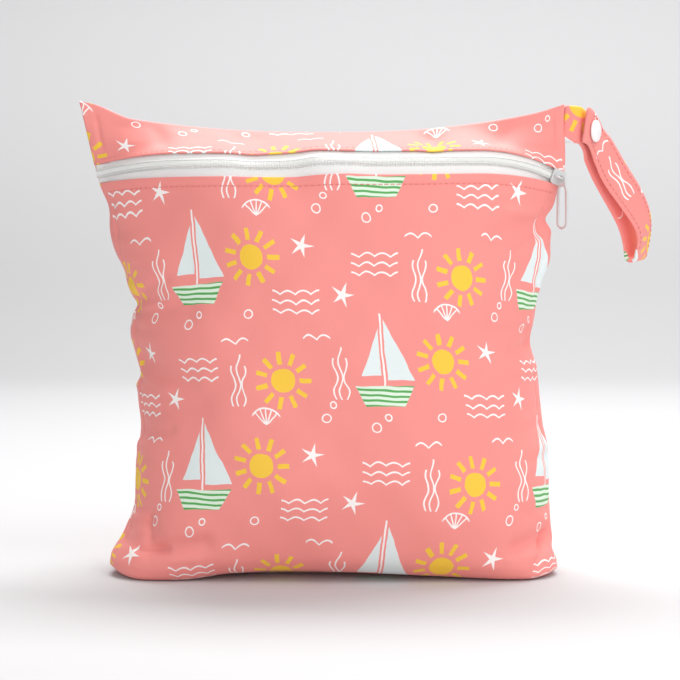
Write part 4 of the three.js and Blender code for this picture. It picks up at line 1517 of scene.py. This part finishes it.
# Stitches
STITCH_RADIUS = 0.22
FINE_STITCH = 0.08
STITCH_POINTS = 6
STITCH_EDGE = 0.97  # share of the cloth across which the hems are sewn
STRAP_SEAM = 2.4  # from the strap's edges
STRAP_SEAM_SEAT = 0.96  # height of the stitches, as a share of the strap's half thickness
STRAP_SEAM_END = 2
HEM_SEAM_STEPS = 900
STRAP_SEAM_STEPS = 400


def stitch_rows(points, normals, radius):
    """Stitches along a line: each dips into the cloth at both of its ends."""
    sizes = bpy.context.scene.pouch_sizes
    pitch, length = sizes.stitch_pitch / MM, sizes.stitch_length / MM
    lengths = lengths_along(points)
    rows = []
    for start in np.arange(pitch, lengths[-1] - pitch, pitch):
        at = np.linspace(start, start + length, STITCH_POINTS)
        path, off = (points_at(at, lengths, line) for line in (points, normals))
        lift = radius * (1 - 2 * np.linspace(-1, 1, STITCH_POINTS) ** 4)
        rows.append((path + off * lift[:, None], radius, off[STITCH_POINTS // 2]))
    return rows


def panel_stitches(name, level, radius):
    across = np.linspace(-STITCH_EDGE, STITCH_EDGE, HEM_SEAM_STEPS)
    levels = np.full_like(across, level)
    points = dressed_point(FRONT, across, levels)
    normals = normals_of(cloth_point, FRONT, across, levels)
    return strands(name, stitch_rows(points, normals, radius))


def strap_stitches(name):
    """Stitches along both edges of the strap's front layer."""
    along = np.linspace(STRAP_FREE_END + STRAP_SEAM_END, STRAP_LENGTH - STRAP_SEAM_END, STRAP_SEAM_STEPS)
    rows = []
    for sign in (-1, 1):
        wide = np.full_like(along, sign * (STRAP_WIDTH / 2 - STRAP_SEAM))
        points = strap_point(along, STRAP_GAP(along) + STRAP / 2 * STRAP_SEAM_SEAT, wide)
        rows += stitch_rows(points, strap_axes(along)[1], STITCH_RADIUS)
    return strands(name, rows)


# Stage
FLOOR_DROP = 0.3  # floor under the base, so that the two never share a plane
SWEEP_START = -2.5
SWEEP_BEND = 1.0
SWEEP_RADIUS = 0.7
SWEEP_TOP = 3.0
SWEEP_HALF = 3.0
SWEEP_COLUMNS = 13
SWEEP_FLOOR_ROWS = 30
SWEEP_BEND_ROWS = 24
SWEEP_LENGTH = SWEEP_BEND - SWEEP_START + SWEEP_RADIUS * math.pi / 2 + SWEEP_TOP - SWEEP_RADIUS
# Painted shade of the paper, standing in for the fall of light over floor and backdrop: at shares of its
# length, then in its middle line and for each metre to the right
PAPER_PAINTED_SHADES = (
    (0, 0.77), (0.34, 0.77), (0.4, 0.75), (0.485, 0.74), (0.51, 0.71), (0.55, 0.72), (0.625, 0.94), (1, 1.02),
)
PAPER_PAINTED_SHADE_MIDDLE = 0.94
PAPER_PAINTED_SHADE_TILT = 0.1
# Lights: name, place, point that it faces, size, and the setting that holds its power
LIGHTS = (
    ("top_light", (0.1, 0.5, 1.3), (0, 0.05, 0), (1.3, 0.5), "key"),
    ("right_light", (0.9, -0.6, 1.3), (0, 0, 0.12), (0.8, 0.8), "side"),
    ("front_light", (0.35, -1.6, 0.6), (0, 0, 0.12), (1.4, 1.0), "front"),
)


def sweep(name):
    """Floor that curves up into a backdrop."""
    turn = np.linspace(0, math.pi / 2, SWEEP_BEND_ROWS)
    bend = [(SWEEP_BEND + SWEEP_RADIUS * math.sin(t), SWEEP_RADIUS * (1 - math.cos(t))) for t in turn]
    floor = [(y, 0.0) for y in np.linspace(SWEEP_START, SWEEP_BEND, SWEEP_FLOOR_ROWS)[:-1]]
    line = np.array(floor + bend + [(SWEEP_BEND + SWEEP_RADIUS, SWEEP_TOP)])
    length = lengths_along(line)
    columns = np.linspace(-SWEEP_HALF, SWEEP_HALF, SWEEP_COLUMNS)
    points = [(x / MM, y / MM, z / MM - FLOOR_DROP) for y, z in line for x in columns]
    flat = [(x / MM, v / MM) for v in length for x in columns]
    return new_piece(name, points, grid_faces(len(line), len(columns)), flat)


def area_light(name, place, target, size, energy):
    light = bpy.data.lights.new(name, "AREA")
    light.shape = "RECTANGLE"
    light.size, light.size_y = size
    light.energy = energy
    lamp = bpy.data.objects.new(name, light)
    bpy.context.scene.collection.objects.link(lamp)
    lamp.location = place
    lamp.rotation_euler = (Vector(target) - Vector(place)).to_track_quat("-Z", "Y").to_euler()


# Sizes and colours that a user would change
def length_property(name, description, default, low, high, precision=2):
    return bpy.props.FloatProperty(
        name=name, description=description, default=default, min=low, max=high, precision=precision,
        unit="LENGTH", subtype="DISTANCE",
    )


def power_property(name, description, default):
    return bpy.props.FloatProperty(
        name=name, description=description, default=default, min=0, max=500, unit="POWER",
    )


def colour_property(name, description, default):
    return bpy.props.FloatVectorProperty(
        name=name, description=description, default=default, size=3, min=0, max=1, subtype="COLOR",
    )


class PouchSizes(bpy.types.PropertyGroup):
    """Sizes of the dressed pouch's fine pieces."""

    stitch_pitch: length_property("Stitch pitch", "From one stitch to the next", 0.0033, 0.002, 0.006, 4)
    stitch_length: length_property(
        "Stitch length", "Thread that shows in one stitch", 0.0025, 0.001, 0.005, 4,
    )


class PouchColours(bpy.types.PropertyGroup):
    """Colours of the pouch, its print and its stage."""

    cloth: colour_property("Cloth", "Ground of the printed cloth", (0.9, 0.29, 0.265))
    line: colour_property("Line", "White line work of the print", (0.93, 0.88, 0.86))
    pale: colour_property("Sails", "Pale sails in the print", (0.74, 0.81, 0.81))
    pale_green: colour_property("Hulls", "Pale ground of the hulls", (0.72, 0.86, 0.70))
    green: colour_property("Hull stripes", "Green stripes of the hulls", (0.10, 0.38, 0.10))
    yellow: colour_property("Suns", "Yellow discs and rays of the print", (0.90, 0.56, 0.05))
    tape: colour_property("Zip tape", "Woven tapes", (0.90, 0.90, 0.89))
    coil: colour_property("Zip coil", "Nylon coil and its threads", (0.84, 0.84, 0.82))
    metal: colour_property("Slider", "Lacquer of slider and pull", (0.72, 0.72, 0.72))
    snap: colour_property("Snap", "Plastic of the snap", (0.92, 0.90, 0.90))
    thread: colour_property("Thread", "Sewing thread of hems and strap", (0.82, 0.26, 0.24))
    paper: colour_property("Paper", "Floor and backdrop", (0.84, 0.84, 0.85))


class PouchStage(bpy.types.PropertyGroup):
    """Camera and light."""

    distance: length_property("Camera distance", "From the camera to the pouch's middle", 1.2, 0.5, 5)
    elevation: bpy.props.FloatProperty(
        name="Camera elevation", description="Angle of the camera above the floor",
        default=math.radians(5), min=0, max=math.radians(80), unit="ROTATION", subtype="ANGLE",
    )
    width: length_property("View width", "Width of the picture at the pouch's middle", 0.3808, 0.1, 2)
    target: bpy.props.FloatVectorProperty(
        name="Camera target", description="Point in the middle of the picture",
        default=(0.00448, 0.0, 0.1278), size=3, unit="LENGTH", subtype="XYZ",
    )
    fill: bpy.props.FloatProperty(
        name="Room light", description="Strength of the even light from all round", default=0.5, min=0, max=3,
    )
    key: power_property("Top light", "Power of the large light over the pouch", 24)
    side: power_property("Side light", "Power of the light from the right", 7)
    front: power_property("Front light", "Power of the soft light over the camera", 11)


# Operators
class POUCH_OT_stage(bpy.types.Operator):
    """Make the floor, the lights and the camera"""

    bl_idname = "pouch.stage"
    bl_label = "Stage"

    def execute(self, context):
        scene = context.scene
        stage = scene.pouch_stage
        paper = sweep("studio_sweep")
        paper.data.materials.append(studio_paper())
        world = bpy.data.worlds.new("studio_room")
        world.use_nodes = True
        room = world.node_tree.nodes["Background"]
        room.inputs["Color"].default_value = (1, 1, 1, 1)
        room.inputs["Strength"].default_value = stage.fill
        scene.world = world
        for name, place, target, size, setting in LIGHTS:
            area_light(name, place, target, size, getattr(stage, setting))
        data = bpy.data.cameras.new("photo_camera")
        data.lens = data.sensor_width * stage.distance / stage.width
        data.clip_start, data.clip_end = 0.05, 20
        camera = bpy.data.objects.new("photo_camera", data)
        scene.collection.objects.link(camera)
        back = Vector((0, -math.cos(stage.elevation), math.sin(stage.elevation)))
        camera.location = Vector(stage.target) + back * stage.distance
        camera.rotation_euler = (-back).to_track_quat("-Z", "Y").to_euler()
        scene.camera = camera
        scene.view_settings.view_transform = "Standard"
        return {"FINISHED"}


class POUCH_OT_panels(bpy.types.Operator):
    """Make the printed front, strip and back"""

    bl_idname = "pouch.panels"
    bl_label = "Cloth panels"

    def execute(self, context):
        cloth = printed_cloth()
        for name, node, face, low, high, columns in (
            ("front_cloth", "front_panel", FRONT, 0, HEM_LEVEL, FRONT_COLUMNS),
            ("strip_cloth", "top_panel", FRONT, STRIP_LEVEL, TOP_LEVEL, FRONT_COLUMNS),
            ("back_cloth", "back_panel", BACK, 0, TOP_LEVEL, BACK_COLUMNS),
        ):
            piece = panel(name, face, low, high, columns)
            finish_piece(piece, POUCH_BODY, "cloth", cloth, node)
        return {"FINISHED"}


class POUCH_OT_tapes(bpy.types.Operator):
    """Make the two woven zip tapes"""

    bl_idname = "pouch.tapes"
    bl_label = "Zip tapes"

    def execute(self, context):
        weave = tape_weave()
        for name, node, is_upper in (
            ("lower_tape", "zip_tape_lower", False),
            ("upper_tape", "zip_tape_upper", True),
        ):
            piece = tape(name, is_upper)
            finish_piece(piece, POUCH_BODY, "zip_tape", weave, node)
        return {"FINISHED"}


class POUCH_OT_coil(bpy.types.Operator):
    """Make the closed coil and the threads that hold it"""

    bl_idname = "pouch.coil"
    bl_label = "Zip coil"

    def execute(self, context):
        colours = context.scene.pouch_colours
        finish_piece(coil_teeth("coil_teeth"), POUCH_BODY, "zip_coil", coil_nylon(), "zip_coil")
        thread = twisted_thread("coil_thread", tuple(colours.coil))
        finish_piece(coil_threads("coil_threads"), POUCH_BODY, "zip_coil", thread)
        return {"FINISHED"}


class POUCH_OT_slider(bpy.types.Operator):
    """Make the slider and its hanging pull"""

    bl_idname = "pouch.slider"
    bl_label = "Slider and pull"

    def execute(self, context):
        lacquer = white_lacquer()
        finish_piece(slider_body("slider_body"), POUCH_BODY, "zip_metal", lacquer, "zip_slider")
        finish_piece(pull_tab("pull_tab"), PULL_BODY, "zip_metal", lacquer, "zip_pull")
        return {"FINISHED"}


class POUCH_OT_strap(bpy.types.Operator):
    """Make the folded wrist strap"""

    bl_idname = "pouch.strap"
    bl_label = "Wrist strap"

    def execute(self, context):
        piece, length = strap_band("strap_band")
        finish_piece(piece, POUCH_BODY, "cloth", bpy.data.materials["printed_cloth"], "wrist_strap")
        return {"FINISHED"}


class POUCH_OT_snap(bpy.types.Operator):
    """Make the snap's two caps and its hidden post"""

    bl_idname = "pouch.snap"
    bl_label = "Snap"

    def execute(self, context):
        plastic = snap_plastic()
        apart = float(STRAP_GAP(SNAP_AT))
        seat = STRAP / 2 + GAP
        tall = apart / 2 - seat
        post = [(0, -tall), (SNAP_POST_RADIUS, -tall), (SNAP_POST_RADIUS, tall), (0, tall)]
        for name, node, profile, off, facing in (
            ("snap_dome", "snap_cap", dome_profile(), apart + seat, 1),
            ("snap_back_dome", "snap_back_cap", dome_profile(), -seat, -1),
            ("snap_stud", "snap_post", post, apart / 2, 1),
        ):
            finish_piece(snap_piece(name, profile, off, facing), POUCH_BODY, "snap", plastic, node)
        return {"FINISHED"}


class POUCH_OT_stitches(bpy.types.Operator):
    """Sew the hems and the strap"""

    bl_idname = "pouch.stitches"
    bl_label = "Stitches"

    def execute(self, context):
        thread = twisted_thread("hem_thread", tuple(context.scene.pouch_colours.thread))
        hem = level_at(FRONT, length_at(FRONT, HEM_LEVEL) - HEM_SEAM[0])
        strip = level_at(FRONT, length_at(FRONT, STRIP_LEVEL) + STRIP_SEAM[0])
        for piece in (
            panel_stitches("hem_stitches", hem, STITCH_RADIUS),
            panel_stitches("strip_stitches", strip, FINE_STITCH),
            strap_stitches("strap_stitches"),
        ):
            finish_piece(piece, POUCH_BODY, "cloth", thread)
        return {"FINISHED"}


class POUCH_PT_panel(bpy.types.Panel):
    """Lists the pouch's pieces, sizes and colours"""

    bl_idname = "POUCH_PT_panel"
    bl_label = "Zip pouch"
    bl_space_type = "VIEW_3D"
    bl_region_type = "UI"
    bl_category = "Pouch"

    def draw(self, context):
        for operator in OPERATORS:
            self.layout.operator(operator.bl_idname)
        for group in (context.scene.pouch_sizes, context.scene.pouch_colours, context.scene.pouch_stage):
            for name in group.__annotations__:
                self.layout.prop(group, name)


GROUPS = {"pouch_sizes": PouchSizes, "pouch_colours": PouchColours, "pouch_stage": PouchStage}
OPERATORS = (
    POUCH_OT_stage, POUCH_OT_panels, POUCH_OT_tapes, POUCH_OT_coil, POUCH_OT_slider,
    POUCH_OT_strap, POUCH_OT_snap, POUCH_OT_stitches,
)


def register():
    for made in (*GROUPS.values(), *OPERATORS, POUCH_PT_panel):
        bpy.utils.register_class(made)
    for name, group in GROUPS.items():
        setattr(bpy.types.Scene, name, bpy.props.PointerProperty(type=group))


def unregister():
    for name in GROUPS:
        delattr(bpy.types.Scene, name)
    for made in reversed((*GROUPS.values(), *OPERATORS, POUCH_PT_panel)):
        bpy.utils.unregister_class(made)


def main():
    register()
    for operator in OPERATORS:
        getattr(bpy.ops.pouch, operator.bl_idname.split(".")[1])()


if __name__ == "__main__":
    main()
